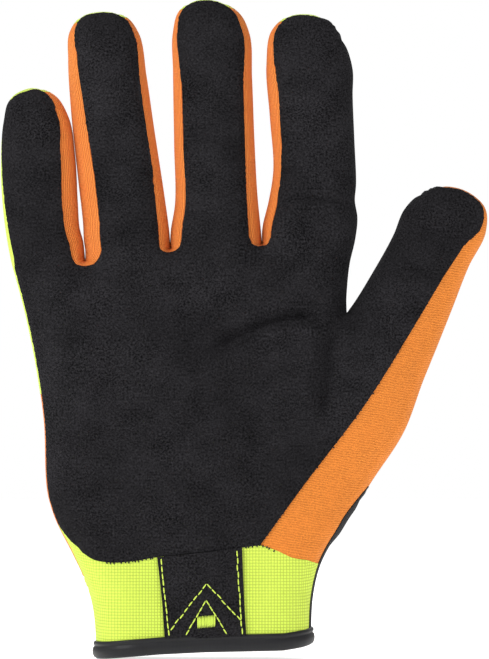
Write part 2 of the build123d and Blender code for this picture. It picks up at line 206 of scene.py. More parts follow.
def distance_to(line, xz):
    """How far points lie from a polyline, and how far along it, as a share."""
    best, share = np.full(len(xz), 1e9), np.zeros(len(xz))
    for k, (a, b) in enumerate(zip(line[:-1], line[1:])):
        t = np.clip(((xz - a) @ (b - a)) / ((b - a) @ (b - a)), 0, 1)
        d = np.linalg.norm(xz - a - t[:, None] * (b - a), axis=1)
        near = d < best
        best[near] = d[near]
        share[near] = (k + t[near]) / (len(line) - 1)
    return best, share


def smooth_values(values, rounds):
    """Evens out a run of values, ends kept."""
    v = np.array(values, float)
    for _ in range(rounds):
        v[1:-1] = 0.25 * v[:-2] + 0.5 * v[1:-1] + 0.25 * v[2:]
    return v


class Form:
    """The glove's outline and the height of its surface over the pattern."""

    def __init__(self):
        chain = list(LEFT_SIDE)
        for k, name in enumerate(ORDER):
            chain += [tuple(digit_point(name, a, v)) for a, v in DIGITS[name]["outline"]]
            if name in ORDER[:3]:
                chain.append(WEB_BOTTOMS[k])
            elif name == "index":
                chain += INDEX_SIDE + [THUMB_CROTCH]
        chain += THUMB_SIDE
        self.p, self.n = self.spaced(smooth_line(chain, 0.05))
        self.s = np.concatenate([[0], np.cumsum(np.linalg.norm(np.diff(self.p, axis=0), axis=1))])
        self.crease, self.split, self.tip = {}, {}, {}
        for name in ORDER:
            near = self.nearest(digit_point(name, 0, DIGITS[name]["length"] + 1))
            self.tip[name] = near
            self.crease[name] = (self.walk(name, near, -1, 0.0), self.walk(name, near, 1, 0.0))
            level = DIGITS[name]["flex"] - SPLIT_DROP
            self.split[name] = (self.walk(name, near, -1, level), self.walk(name, near, 1, level))
        self.solve()
        self.edge_height()
        self.cuff, self.seam, self.wrist = ((self.side_at(ends[0], 0), self.side_at(ends[1], 1))
                                            for ends in (CUFF_ENDS, PALM_ENDS, WRIST_ENDS))
        self.corner, self.knuckle = self.side_at(PALM_CORNER, 0), self.side_at(KNUCKLE_END, 0)
        self.crotch = self.nearest(THUMB_CROTCH)
        span = range(self.tip["thumb"], self.crease["thumb"][1])
        self.terry, self.terry_top = (min(span, key=lambda i: abs(self.p[i, 1] - z)) for z in THUMB_TIP_SEAM)
        self.front_edge, self.back_edge = self.edges()
        self.inset = np.maximum(INSET, self.front_edge + 1.3)
        span = slice(self.tip["thumb"], self.terry + 1)
        self.inset[span] = np.maximum(INSET, self.front_edge[span] + 0.35)
        self.front_line = self.p + self.n * self.inset[:, None]
        self.back_line = self.p + self.n * INSET

    @staticmethod
    def spaced(fine):
        """Samples at even steps along the edge, closer together where it turns."""
        t = np.gradient(fine, axis=0)
        turn = smooth_values(np.unwrap(np.arctan2(t[:, 1], t[:, 0])), 12)
        step = np.linalg.norm(np.diff(fine, axis=0), axis=1) / SAMPLE + np.abs(np.diff(turn)) / 0.18
        run = np.concatenate([[0], np.cumsum(step)])
        at = np.linspace(0, run[-1], int(run[-1]))
        p = np.stack([np.interp(at, run, fine[:, k]) for k in (0, 1)], axis=1)
        turn = smooth_values(np.interp(at, run, turn), 4)
        return p, np.stack([np.sin(turn), -np.cos(turn)], axis=1)

    def nearest(self, point):
        """The sample nearest a point."""
        return int(np.argmin(np.linalg.norm(self.p - np.array(point), axis=1)))

    def side_at(self, z, right):
        """The sample at a height on the little-finger side or the thumb side of the hand."""
        span = range(self.crease["thumb"][1], len(self.p)) if right else range(0, self.crease["pinky"][0])
        return min(span, key=lambda i: abs(self.p[i, 1] - z))

    def edges(self):
        """Where the leather ends and the back begins at each sample: positive on the palm side."""
        front = np.full(len(self.p), 0.9)
        back = np.full(len(self.p), 1.8)
        for name in ORDER:
            (a, b), tip = self.crease[name], self.tip[name]
            for side, (lo, hi) in enumerate(((a, tip), (tip, b))):
                v = np.clip(along_digit(name, self.p[lo:hi + 1]) / DIGITS[name]["length"], 0, 1)
                band = BANDS[name][side]
                if name in ("index", "thumb") and side == (name == "index"):
                    wrap = np.interp(v, [0, 0.86, 1.0], [1, 1, 0])
                    front[lo:hi + 1] = 0.8 - (WRAP + 0.8) * wrap
                    back[lo:hi + 1] = 1.7 - (WRAP + 0.7) * wrap
                elif name == "pinky" and side == 0:
                    front[lo:hi + 1] = np.interp(v, [0, 0.33, 0.66, 0.92, 1.0], list(band) + [1.1])
                else:
                    front[lo:hi + 1] = np.interp(v, [0, 0.33, 0.66, 0.92, 1.0], list(band) + [0.7])
                    back[lo:hi + 1] = np.interp(v, [0, 0.88, 1.0], [-BACK_BAND, -BACK_BAND, 1.6])
        for left, right, deep in zip(ORDER[:3], ORDER[1:4], WEB_DEPTHS):
            a, b = self.crease[left][1], self.crease[right][0]
            mid = np.sin(np.linspace(0, math.pi, b - a + 1))
            front[a:b + 1] = np.linspace(front[a], front[b], b - a + 1) * (1 - mid) + deep * mid
            back[a:b + 1] = -BACK_BAND
        span = slice(self.tip["thumb"], self.terry + 1)
        front[span] = np.interp(self.p[span, 1], [145.5, 150.3, 155, 158, 165], [6.2, 3.8, 2.2, 1.8, 0.8])
        back[span] = 1.7
        a, b = self.crease["index"][1], self.crease["thumb"][0]
        front[a:b + 1], back[a:b + 1] = -WRAP, 1.0 - WRAP
        low = self.p[:self.corner, 1]
        front[:self.corner] = np.interp(low, [34.6, 37.7, 41.5, 46.0], [4.6, 3.0, 1.8, 0.9])
        back[:self.corner] = np.where(low > 26, 2.1, -0.8)
        back[self.wrist[1] - 12:] = np.interp(self.p[self.wrist[1] - 12:, 1], [30, 35, 42, 48, 54, 60],
                                              [1.1, 1.0, 1.7, 2.2, 1.5, 0.3])
        front[self.wrist[1]:] = np.minimum(0.6, back[self.wrist[1]:] - 0.9)
        fray = np.array([noise.noise(Vector((s * 0.9, 4.0, 0))) + 0.6 * noise.noise(Vector((s * 0.3, 8.0, 0)))
                         for s in self.s])
        return smooth_values(front, 8) + 0.2 * fray * (front > 0.4), smooth_values(back, 8)

    def walk(self, name, start, step, level):
        """The sample where a side of a digit passes a height above its crease."""
        i = start
        while along_digit(name, self.p[i]) > level and 0 < i < len(self.p) - 1:
            i += step
        return i - step if level == 0 else i

    def solve(self):
        """Swell the outline like a filled glove: steep at the edge and level in the middle."""
        self.dx = 0.8
        self.lo = self.p.min(0) - 3
        cells = np.ceil((self.p.max(0) + 3 - self.lo) / self.dx).astype(int)
        inside = np.zeros(cells[::-1], bool)
        xs = self.lo[0] + np.arange(cells[0]) * self.dx
        loop = np.vstack([self.p, self.p[:1]])
        for r in range(cells[1]):
            z = self.lo[1] + r * self.dx
            a, b = loop[:-1], loop[1:]
            hit = (a[:, 1] > z) != (b[:, 1] > z)
            cross = np.sort(a[hit, 0] + (z - a[hit, 1]) * (b[hit, 0] - a[hit, 0]) / (b[hit, 1] - a[hit, 1]))
            inside[r] = np.searchsorted(cross, xs) % 2 == 1
        fine = resample(self.p, self.dx * 0.5)
        ij = np.round((fine - self.lo) / self.dx).astype(int)
        inside[ij[:, 1], ij[:, 0]] = False
        u = np.zeros(inside.shape)
        k = (self.dx / SOFT_REACH) ** 2
        rr, cc = np.indices(u.shape)
        masks = [inside & ((rr + cc) % 2 == c) for c in (0, 1)]
        for _ in range(420):
            for m in masks:
                nb = np.zeros_like(u)
                nb[1:-1, 1:-1] = u[:-2, 1:-1] + u[2:, 1:-1] + u[1:-1, :-2] + u[1:-1, 2:]
                nb[0] = nb[1]
                new = (nb + SWELL * self.dx ** 2) / (4 + k)
                u[m] += 1.86 * (new[m] - u[m])
        self.u = u

    def field(self, xz):
        """Half thickness of the form away from its edge."""
        xz = np.atleast_2d(xz)
        q = (xz - self.lo) / self.dx
        i = np.clip(np.floor(q).astype(int), 0, np.array(self.u.shape[::-1]) - 2)
        f = np.clip(q - i, 0, 1)
        x, z = i[:, 0], i[:, 1]
        u = (self.u[z, x] * (1 - f[:, 0]) * (1 - f[:, 1]) + self.u[z, x + 1] * f[:, 0] * (1 - f[:, 1])
             + self.u[z + 1, x] * (1 - f[:, 0]) * f[:, 1] + self.u[z + 1, x + 1] * f[:, 0] * f[:, 1])
        h = np.sqrt(np.maximum(u, 0))
        left = np.interp(xz[:, 1], [q[1] for q in LEFT_SIDE], [q[0] for q in LEFT_SIDE])
        right = np.interp(xz[:, 1], [q[1] for q in THUMB_SIDE[::-1]], [q[0] for q in THUMB_SIDE[::-1]])
        cuff = (CUFF_DEPTH / 2 - 0.02 * xz[:, 1]) * cuff_round(np.minimum(xz[:, 0] - left, right - xz[:, 0]))
        t = ease((xz[:, 1] - 34) / 34)
        return h * t + cuff * (1 - t)

    def edge_height(self):
        """Height where the rounded edge meets the form, and the width over which that edge curves."""
        self.at_rim = smooth_values(self.field(self.p + self.n * RIM), 6)
        self.half = np.where(self.digit_mask(), 14.0, 24.0)

    def digit_mask(self):
        """Which samples lie on a digit."""
        m = np.zeros(len(self.p), bool)
        for name in ORDER:
            a, b = self.crease[name]
            m[a:b + 1] = True
        return m

    def height(self, i, depth):
        """Half thickness at samples i and distances depth inside the outline."""
        w = self.half[i]
        d = np.minimum(depth, RIM)
        near = self.at_rim[i] * np.sqrt(np.maximum(d * (2 * w - d), 0) / (RIM * (2 * w - RIM)))
        far = self.field((self.p[i] + self.n[i] * depth[..., None]).reshape(-1, 2)).reshape(np.shape(depth))
        t = ease((depth - RIM) / 2.0)
        return np.where(depth <= RIM, near, near * (1 - t) + far * t)


# Folds of the palm: points, depth (a ridge when negative) and half width.
CREASES = [
    ([(46, 119.6), (40, 121.4), (33, 122.0), (25, 120.4), (14, 115.8), (0, 108.0)], 2.9, 2.3),
    ([(54, 122.5), (42, 124.5), (29, 124.0), (16, 120.0), (2, 113.5), (-12, 107.0)], 2.6, 5.6),
    ([(16.9, 114.0), (25, 117.0), (34, 118.2), (43, 117.4)], -1.1, 1.5),
    ([(46, 113.0), (34, 114.6), (22, 112.5)], 0.7, 2.2),
    ([(44, 143.4), (35, 144.4), (25, 144.4), (8, 141.0)], 1.5, 2.8),
    ([(27, 163.0), (34, 165.2), (44, 165.4), (53, 163.8)], 1.7, 1.5),
    ([(51, 121.5), (46.5, 113), (45.5, 100), (43, 86)], 3.6, 3.4),
    ([(-56, 124), (-22, 120.5), (8, 121)], 2.0, 5.0),
    ([(-44, 137), (-30, 141.5), (-14, 143.5)], 1.0, 3.2),
    ([(-20, 60), (10, 66), (36, 88)], 0.9, 7.0),
    ([(-52, 88), (-38, 98), (-30, 110)], 0.9, 5.0),
]


def creases(xz, lines):
    """How far folds pull the surface in."""
    xz = np.atleast_2d(xz)
    out = np.zeros(len(xz))
    for line, depth, half in lines:
        best, share = distance_to(smooth_line(line, 1.5), xz)
        fade = np.clip(np.minimum(share, 1 - share) * 5, 0.15, 1)
        q = best / half
        out += fade * depth * (np.exp(-q * q) - 0.35 * np.exp(-(q - 2.1) ** 2))
    return out


def finger_folds(places):
    """Soft folds across each digit. places: height above its middle crease, depth."""
    lines = []
    for name in ORDER:
        for v, depth in places:
            v += DIGITS[name]["flex"]
            lines.append(([tuple(digit_point(name, a, v + 0.02 * a * a)) for a in (-11, 0, 11)], depth, 2.6))
    return lines


FORM = Form()
FOLDS = {-1: CREASES + finger_folds(((0, 0.9), (5, 0.45), (25, 0.6), (-28, 0.7))),
         1: finger_folds(((-2, 0.8), (3, 0.6)))}


def unevenness(xz, seed):
    """Slow hand-made waviness of a soft surface."""
    return np.array([noise.noise(Vector((x * 0.045, z * 0.045, seed)))
                     + 0.5 * noise.noise(Vector((x * 0.11, z * 0.11, seed))) for x, z in np.atleast_2d(xz)])


def drift(xz, name):
    """How far a digit's curl carries a point towards the palm side."""
    if name is None:
        return np.zeros(len(np.atleast_2d(xz)))
    v = np.clip(along_digit(name, xz), 0, None)
    return -DIGITS[name]["curl"] * (v / DIGITS[name]["length"]) ** 2


def surface(xz, side, name=None, h=None):
    """Depth of the surface: side -1 is the palm, 1 the back."""
    xz = np.atleast_2d(xz)
    h = FORM.field(xz) if h is None else h
    fold = creases(xz, FOLDS[side])
    soft = np.clip(h / 8.0, 0, 1)
    bump = 0.35 * unevenness(xz, 3.0 if side < 0 else 9.0) * soft
    return side * (h - fold * soft + bump) + drift(xz, name)


class Sheet:
    """Points, faces and pattern coordinates of one panel while it is being cut."""

    def __init__(self):
        self.co, self.uv, self.faces, self.count = [], [], [], 0

    def add(self, co, uv, faces):
        self.co.append(np.asarray(co, float))
        self.uv.append(np.asarray(uv, float))
        self.faces += [[v + self.count for v in f] for f in faces]
        self.count += len(co)

    def strip(self, i0, i1, columns, name=None, uv_along=False):
        """A band along the outline. columns: distances inside it, positive on the palm side."""
        i = np.arange(i0, i1 + 1)
        c = np.stack([np.broadcast_to(q[i] if np.ndim(q) else q, i.shape) for q in columns], axis=1).astype(float)
        d = np.abs(c)
        ii = np.repeat(i[:, None], c.shape[1], axis=1)
        h = FORM.height(ii, d)
        xz = FORM.p[ii] + FORM.n[ii] * d[..., None]
        flat = xz.reshape(-1, 2)
        front = surface(flat, -1, name, h.ravel())
        back = surface(flat, 1, name, h.ravel())
        y = np.where(c.ravel() > 0, front, np.where(c.ravel() < 0, back, drift(flat, name)))
        co = np.stack([flat[:, 0], y, flat[:, 1]], axis=1)
        grid = co.reshape(*c.shape, 3)
        run = np.concatenate([np.zeros((len(i), 1)),
                              np.cumsum(np.linalg.norm(np.diff(grid, axis=1), axis=2), axis=1)], axis=1)
        if uv_along:
            uv = np.stack([run, np.repeat(FORM.s[i][:, None], c.shape[1], axis=1)], axis=2)
        else:
            uv = xz[:, :1] - FORM.n[i][:, None, :] * run[..., None]
        m = c.shape[1]
        flip = c[:, 0].mean() > c[:, -1].mean()
        faces = []
        for r in range(len(i) - 1):
            for k in range(m - 1):
                a = r * m + k
                f = [a, a + 1, a + m + 1, a + m]
                faces.append(f[::-1] if flip else f)
        self.add(co, uv.reshape(-1, 2), faces)
        return self

    def patch(self, border, side, name=None):
        """A region inside a closed border, filled with a fine lattice."""
        border = np.asarray(border, float)
        keep = [0]
        for k in range(1, len(border)):
            if np.linalg.norm(border[k] - border[keep[-1]]) > 0.05:
                keep.append(k)
        border = border[keep]
        if np.linalg.norm(border[0] - border[-1]) < 0.05:
            border = border[:-1]
        lo, hi = border.min(0), border.max(0)
        rows = int((hi[1] - lo[1]) / (LATTICE * 0.87)) + 1
        fill = []
        a, b = border, np.roll(border, -1, axis=0)
        ab = b - a
        for r in range(rows):
            z = lo[1] + (r + 0.5) * LATTICE * 0.87
            hit = (a[:, 1] > z) != (b[:, 1] > z)
            cross = np.sort(a[hit, 0] + (z - a[hit, 1]) * ab[hit, 0] / ab[hit, 1])
            x = np.arange(lo[0] + (r % 2) * LATTICE / 2, hi[0], LATTICE)
            x = x[np.searchsorted(cross, x) % 2 == 1]
            fill += [(q, z) for q in x]
        fill = np.array(fill) if fill else np.zeros((0, 2))
        if len(fill):
            keep = np.ones(len(fill), bool)
            for k in range(0, len(fill), 2000):
                q = fill[k:k + 2000]
                d = np.linalg.norm(q[:, None, :] - a[None], axis=2).min(1)
                keep[k:k + 2000] = d > LATTICE * 0.62
            fill = fill[keep]
        pts = np.vstack([border, fill])
        n = len(border)
        verts, _, faces, *_ = geometry.delaunay_2d_cdt([Vector(q) for q in pts],
                                                       [(k, (k + 1) % n) for k in range(n)], [], 1, 1e-6)
        xz = np.array([tuple(v) for v in verts])
        y = surface(xz, side, name)
        co = np.stack([xz[:, 0], y, xz[:, 1]], axis=1)
        out = []
        for f in faces:
            q = xz[list(f)]
            area = (q[1, 0] - q[0, 0]) * (q[2, 1] - q[0, 1]) - (q[1, 1] - q[0, 1]) * (q[2, 0] - q[0, 0])
            out.append(list(f) if (area > 0) == (side < 0) else list(f)[::-1])
        self.add(co, xz, out)
        return self

    def build(self, name, material, lift=0.0, thickness=0.9, ride=None, blend=None, replaces=()):
        """The panel as an object: lifted off the form and given the thickness of its cloth."""
        co, uv = np.vstack(self.co), np.vstack(self.uv)
        mesh = bpy.data.meshes.new(name)
        mesh.from_pydata([tuple(q) for q in co * MM], [], self.faces)
        set_pattern(mesh, uv)
        bm = bmesh.new()
        bm.from_mesh(mesh)
        bmesh.ops.remove_doubles(bm, verts=bm.verts, dist=0.03 * MM)
        bmesh.ops.dissolve_degenerate(bm, edges=bm.edges, dist=0.01 * MM)
        give_thickness(bm, lift, thickness)
        bm.to_mesh(mesh)
        bm.free()
        return finish_piece(place(name, mesh), material, ride, blend, replaces)


def set_pattern(mesh, uv):
    """Gives a mesh its flat pattern coordinates, one pair per point in millimetres."""
    layer = mesh.uv_layers.new(name="Pattern")
    idx = np.zeros(len(mesh.loops), int)
    mesh.loops.foreach_get("vertex_index", idx)
    layer.data.foreach_set("uv", (np.asarray(uv)[idx] * MM).ravel())


def place(name, data):
    """An object in the scene."""
    obj = bpy.data.objects.new(name, data)
    bpy.context.scene.collection.objects.link(obj)
    return obj


def give_thickness(bm, lift, thickness):
    """Moves a cut panel off the form and adds its inner face and its cut edges."""
    bm.normal_update()
    layer = bm.loops.layers.uv.active
    top = bm.verts[:]
    out = {v: v.normal.copy() for v in top}
    uv = {l.vert: l[layer].uv.copy() for f in bm.faces for l in f.loops}
    faces = bm.faces[:]
    rims = [e for e in bm.edges if len(e.link_faces) == 1]
    for v in top:
        v.co += out[v] * lift * MM
    low = {v: bm.verts.new(v.co - out[v] * thickness * MM) for v in top}
    made = []
    for f in faces:
        made.append((bm.faces.new([low[v] for v in reversed(f.verts)]), [uv[v] for v in reversed(f.verts)]))
    for e in rims:
        loop = e.link_loops[0]
        a, b = loop.vert, loop.link_loop_next.vert
        made.append((bm.faces.new([b, a, low[a], low[b]]), [uv[b], uv[a], uv[a], uv[b]]))
        e.smooth = False
    for f, coords in made:
        for l, q in zip(f.loops, coords):
            l[layer].uv = q
    for f in bm.faces:
        f.smooth = True
    for e in bm.edges:
        if len(e.link_faces) == 2 and e.calc_face_angle(0) > 0.9:
            e.smooth = False


def finish_piece(obj, material, ride=None, blend=None, replaces=()):
    """Gives a piece its finish, parents it to the body it rides on (a piece with a blend is left unparented where it
    stands) and hides the parts it replaces.
    """
    obj.data.materials.clear()
    obj.data.materials.append(bpy.data.materials[material])
    if blend:
        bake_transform(obj)
    else:
        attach(obj, ride or "hand")
    if replaces:
        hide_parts(*replaces)
    return obj


def inner(i0, i1, side):
    """A stretch of the line where a panel's lattice meets its edge bands."""
    line = FORM.front_line if side < 0 else FORM.back_line
    return line[i0:i1 + 1] if i1 >= i0 else line[i1:i0 + 1][::-1]


def cut(a, b):
    """Points strictly between two ends of a straight cut."""
    return resample(np.array([a, b]), 1.0)[1:-1]


def rim_columns(side):
    """Distances from a panel's lattice out to its edge."""
    edge = FORM.front_edge if side < 0 else -FORM.back_edge
    inset = FORM.inset if side < 0 else np.full(len(FORM.p), INSET)
    cols = []
    for t in EDGE_SHARES:
        c = inset + (edge - inset) * t
        c = np.where(np.abs(c) < 0.02, 0.02, c)
        cols.append(c * (1 if side < 0 else -1))
    return cols


def full_wrap():
    """Distances right round the edge, palm lattice to back lattice."""
    out = [INSET, 4.2, 3.1, 2.1, 1.25, 0.6, 0.18]
    return [FORM.inset] + out[1:] + [0.0] + [-q for q in out[::-1]]


def digit_blend(name, part):
    """Two bodies and two end points, in metres, spanning a digit's lower piece (hand to lower) or its upper piece
    (lower to upper).
    """
    d = DIGITS[name]
    if part == "lower":
        ends, bodies = (0.5, min(14.0, d["flex"] - 12.5)), ("hand", name + "_lower")
    else:
        ends, bodies = (d["flex"] - 10.5, d["flex"] + 8.0), (name + "_lower", name + "_upper")
    pts = [(q[0] * MM, 0.0, q[1] * MM) for q in (digit_point(name, 0, v) for v in ends)]
    return (*bodies, *pts)


def offset_line(points, shift):
    """A seam moved sideways."""
    line = smooth_line(points, 1.0)
    t = np.gradient(line, axis=0)
    t /= np.linalg.norm(t, axis=1)[:, None]
    return line + np.stack([-t[:, 1], t[:, 0]], axis=1) * shift


def terry_line(shift=0.0):
    """The seam from the cuff up the ball of the thumb to its tip, moved sideways if asked."""
    end = tuple(FORM.front_line[FORM.terry])
    line = offset_line(TERRY_SEAM + [end], shift)
    line[-1] = end
    return line


def terry_marks():
    """Where that seam passes the thumb's crease and its split."""
    v = along_digit("thumb", terry_line())
    return int(np.argmax(v > 0)), int(np.argmax(v > DIGITS["thumb"]["flex"] - SPLIT_DROP))


def digit_panel(name, part, side, material, node, lift, thickness):
    """Front or back of a digit, from crease to split or from split to tip."""
    f = FORM
    (ca, cb), (sa, sb) = f.crease[name], f.split[name]
    sheet = Sheet()
    if part == "lower":
        spans = [(ca, sa), (sb, cb)]
        border = [inner(ca, sa, side), cut(inner(sa, sa, side)[0], inner(sb, sb, side)[0]), inner(sb, cb, side),
                  cut(inner(cb, cb, side)[0], inner(ca, ca, side)[0])]
    else:
        spans = [(sa, sb)]
        border = [inner(sa, sb, side), cut(inner(sb, sb, side)[0], inner(sa, sa, side)[0])]
    for a, b in spans:
        sheet.strip(a, b, rim_columns(side), name)
    sheet.patch(np.vstack(border), side, name)
    return sheet.build(name + ("_palm_face_" if side < 0 else "_back_") + part, material, lift, thickness,
                       blend=digit_blend(name, part), replaces=[node])


def thumb_panels(leather, towel):
    """The thumb: leather in front, towelling outside and behind, with the seam between them in front."""
    f, name = FORM, "thumb"
    (ca, cb), (sa, sb) = f.crease[name], f.split[name]
    k0, k1 = terry_marks()
    line, under = terry_line(), terry_line(UNDERLAP)
    fl, bl = f.front_line, f.back_line
    low = Sheet().strip(ca, sa, rim_columns(-1), name)
    low.patch(np.vstack([inner(ca, sa, -1), cut(fl[sa], line[k1]), line[k0:k1 + 1][::-1],
                         cut(line[k0], fl[ca])]), -1, name)
    low.build("thumb_palm_face_lower", leather, LEATHER_LIFT, size("leather"), blend=digit_blend(name, "lower"),
              replaces=["thumb_front_lower"])
    up = Sheet().strip(sa, f.terry, rim_columns(-1), name)
    up.patch(np.vstack([inner(sa, f.terry, -1), line[k1:-1][::-1], cut(line[k1], fl[sa])]), -1, name)
    up.build("thumb_palm_face_upper", leather, LEATHER_LIFT, size("leather"), blend=digit_blend(name, "upper"),
             replaces=["thumb_front_upper"])
    low = Sheet().strip(sb, cb, full_wrap(), name)
    low.patch(np.vstack([under[k0:k1 + 1], cut(under[k1], fl[sb]), inner(sb, cb, -1), cut(fl[cb], under[k0])]),
              -1, name)
    low.strip(ca, sa, rim_columns(1), name)
    low.patch(np.vstack([inner(ca, sa, 1), cut(bl[sa], bl[sb]), inner(sb, cb, 1), cut(bl[cb], bl[ca])]), 1, name)
    low.build("thumb_towelling_lower", towel, 0.0, size("towelling"), blend=digit_blend(name, "lower"),
              replaces=["thumb_back_lower"])
    up = Sheet().strip(f.terry, sb, full_wrap(), name)
    up.patch(np.vstack([under[k1:-1], inner(f.terry, sb, -1), cut(fl[sb], under[k1])]), -1, name)
    up.strip(f.terry_top, f.terry, [f.front_edge + 1.2] + [q * (f.front_edge + 1.2) for q in (0.7, 0.42, 0.2, 0.07)]
             + full_wrap()[7:], name)
    up.strip(sa, f.terry_top, rim_columns(1), name)
    up.patch(np.vstack([inner(sa, sb, 1), cut(bl[sb], bl[sa])]), 1, name)
    up.build("thumb_towelling_upper", towel, 0.0, size("towelling"), blend=digit_blend(name, "upper"),
             replaces=["thumb_back_upper"])


def fourchette(name, side, part, material):
    """The ribbed strip up one side of a finger, tucked under the leather and the back."""
    f = FORM
    (ca, cb), (sa, sb), tip = f.crease[name], f.split[name], f.tip[name]
    a, b = {("inner", "lower"): (ca, sa), ("inner", "upper"): (sa, tip),
            ("outer", "lower"): (sb, cb), ("outer", "upper"): (tip, sb)}[side, part]
    span = np.arange(a, b + 1)
    wide = span[f.back_edge[span] < f.front_edge[span] - 0.4]
    sheet = Sheet().strip(int(wide[0]), int(wide[-1]), band_columns(), name, uv_along=True)
    sheet.build(f"{name}_side_{side}_{part}", material, KNIT_LIFT, size("knit"), blend=digit_blend(name, part),
                replaces=[f"{name}_fourchette_{side}_{part}"])


def band_columns():
    """Distances across a fourchette, from under the leather to under the back."""
    top, low = FORM.front_edge + 1.1, FORM.back_edge - 1.1
    share = np.array([0, 0.16, 0.32, 0.47, 0.6, 0.72, 0.83, 0.92, 0.98])
    return [top * (1 - s) for s in share] + [np.zeros(len(FORM.p))] + [low * (1 - s) for s in share[::-1]]


def web(left, right, material):
    """The bottom of the gap between two fingers, where their side strips join."""
    a, b = FORM.crease[left][1], FORM.crease[right][0]
    sheet = Sheet().strip(a, b, band_columns(), None, uv_along=True)
    sheet.build(f"web_{left}_{right}_knit", material, KNIT_LIFT, size("knit"), replaces=[f"web_{left}_{right}"])


def palm(material):
    """The leather palm, from the cuff seam to the creases of the digits."""
    f = FORM
    fl = f.front_line
    k0, _ = terry_marks()
    line = terry_line()
    sheet = Sheet()
    border = [inner(f.seam[0], f.crease["pinky"][0], -1)]
    sheet.strip(f.seam[0], f.crease["pinky"][0], rim_columns(-1))
    for left, right in zip(ORDER[:4], ORDER[1:]):
        (la, lb), (ra, rb) = f.crease[left], f.crease[right]
        border += [cut(fl[la], fl[lb]), inner(lb, ra, -1)]
        sheet.strip(lb, ra, rim_columns(-1))
    border += [cut(fl[f.crease["thumb"][0]], line[k0]), line[:k0 + 1][::-1]]
    foot = f.p[f.seam[0]] + f.n[f.seam[0]] * f.front_edge[f.seam[0]]
    border += [smooth_line([tuple(foot)] + CUFF_SEAM, 1.0)[:-1][::-1]]
    sheet.patch(np.vstack(border), -1)
    sheet.build("palm_leather", material, LEATHER_LIFT, size("leather"), replaces=["palm_panel"])


def thumb_base(material):
    """Towelling over the ball of the thumb and round to the back."""
    f = FORM
    fl, bl = f.front_line, f.back_line
    k0, _ = terry_marks()
    under = terry_line(UNDERLAP)
    cb, ca = f.crease["thumb"][1], f.crease["thumb"][0]
    sheet = Sheet().strip(cb, f.wrist[1], full_wrap())
    sheet.strip(f.wrist[1], f.seam[1], rim_columns(-1))
    low = smooth_line(CUFF_SEAM_THUMB[1:] + [tuple(fl[f.seam[1]])], 1.0)
    sheet.patch(np.vstack([under[:k0 + 1], cut(under[k0], fl[cb]), inner(cb, f.seam[1], -1), low[:-1][::-1]]), -1)
    edge = smooth_line(SIDE_SEAM + FORK_SEAM[1:] + [tuple(bl[f.crotch])], 1.0)
    sheet.strip(f.crotch, ca, rim_columns(1))
    low = smooth_line(HEEL_SEAM + [tuple(bl[f.wrist[1]])], 1.0)
    sheet.patch(np.vstack([edge, inner(f.crotch, ca, 1)[1:], cut(bl[ca], bl[cb]), inner(cb, f.wrist[1], 1),
                           low[1:-1][::-1]]), 1)
    sheet.build("thumb_base_towelling", material, 0.0, size("towelling"), replaces=["thumb_terry_base"])


def back_panels(knuckle, lower, neoprene):
    """The back of the hand: stretch knuckles, ribbed middle and the soft wrist panel."""
    f = FORM
    bl = f.back_line
    sheet = Sheet()
    border = [inner(f.knuckle, f.crease["pinky"][0], 1)]
    sheet.strip(f.knuckle, f.crease["pinky"][0], rim_columns(1))
    for left, right in zip(ORDER[:3], ORDER[1:4]):
        (la, lb), (ra, rb) = f.crease[left], f.crease[right]
        border += [cut(bl[la], bl[lb]), inner(lb, ra, 1)]
        sheet.strip(lb, ra, rim_columns(1))
    la, lb = f.crease["index"]
    border += [cut(bl[la], bl[lb]), inner(lb, f.crotch, 1)]
    sheet.strip(lb, f.crotch, rim_columns(1))
    edge = smooth_line(FORK_SEAM + [tuple(bl[f.crotch])], 1.0)
    seam = smooth_line([tuple(bl[f.knuckle])] + KNUCKLE_SEAM, 1.0)
    border += [edge[:-1][::-1], seam[:-1][::-1]]
    sheet.patch(np.vstack(border)[:-1], 1)
    sheet.build("knuckle_stretch", knuckle, CLOTH_LIFT, size("back_cloth"), replaces=["back_knuckle_panel"])
    sheet = Sheet().strip(f.wrist[0], f.knuckle, rim_columns(1))
    wrist = smooth_line([tuple(bl[f.wrist[0]])] + WRIST_SEAM, 1.0)
    side = smooth_line(SIDE_SEAM, 1.0)
    sheet.patch(np.vstack([inner(f.wrist[0], f.knuckle, 1), seam[1:-1], side[::-1], wrist[:-1][::-1]])[:-1], 1)
    sheet.build("back_knit", lower, 0.0, size("back_cloth"), replaces=["back_lower_panel"])
    sheet = Sheet().strip(f.cuff[0], f.wrist[0], rim_columns(1)).strip(f.wrist[1], f.cuff[1], rim_columns(1))
    low = smooth_line(HEEL_SEAM + [tuple(bl[f.wrist[1]])], 1.0)
    sheet.patch(np.vstack([inner(f.cuff[0], f.wrist[0], 1), wrist[1:], low[1:-1], inner(f.wrist[1], f.cuff[1], 1),
                           cut(bl[f.cuff[1]], bl[f.cuff[0]])]), 1)
    sheet.build("wrist_neoprene", neoprene, NEOPRENE_LIFT, size("neoprene"), replaces=["cuff_back_panel"])


TAB_LEFT = [(-17.0, 34.6), (-14.2, 4.6)]
TAB_RIGHT = [(14.0, 38.2), (15.5, 6.0)]


def cuff_columns(wrap):
    """Distances from the lattice of a cuff piece out to its edge."""
    return [INSET + (wrap - INSET) * t for t in EDGE_SHARES]


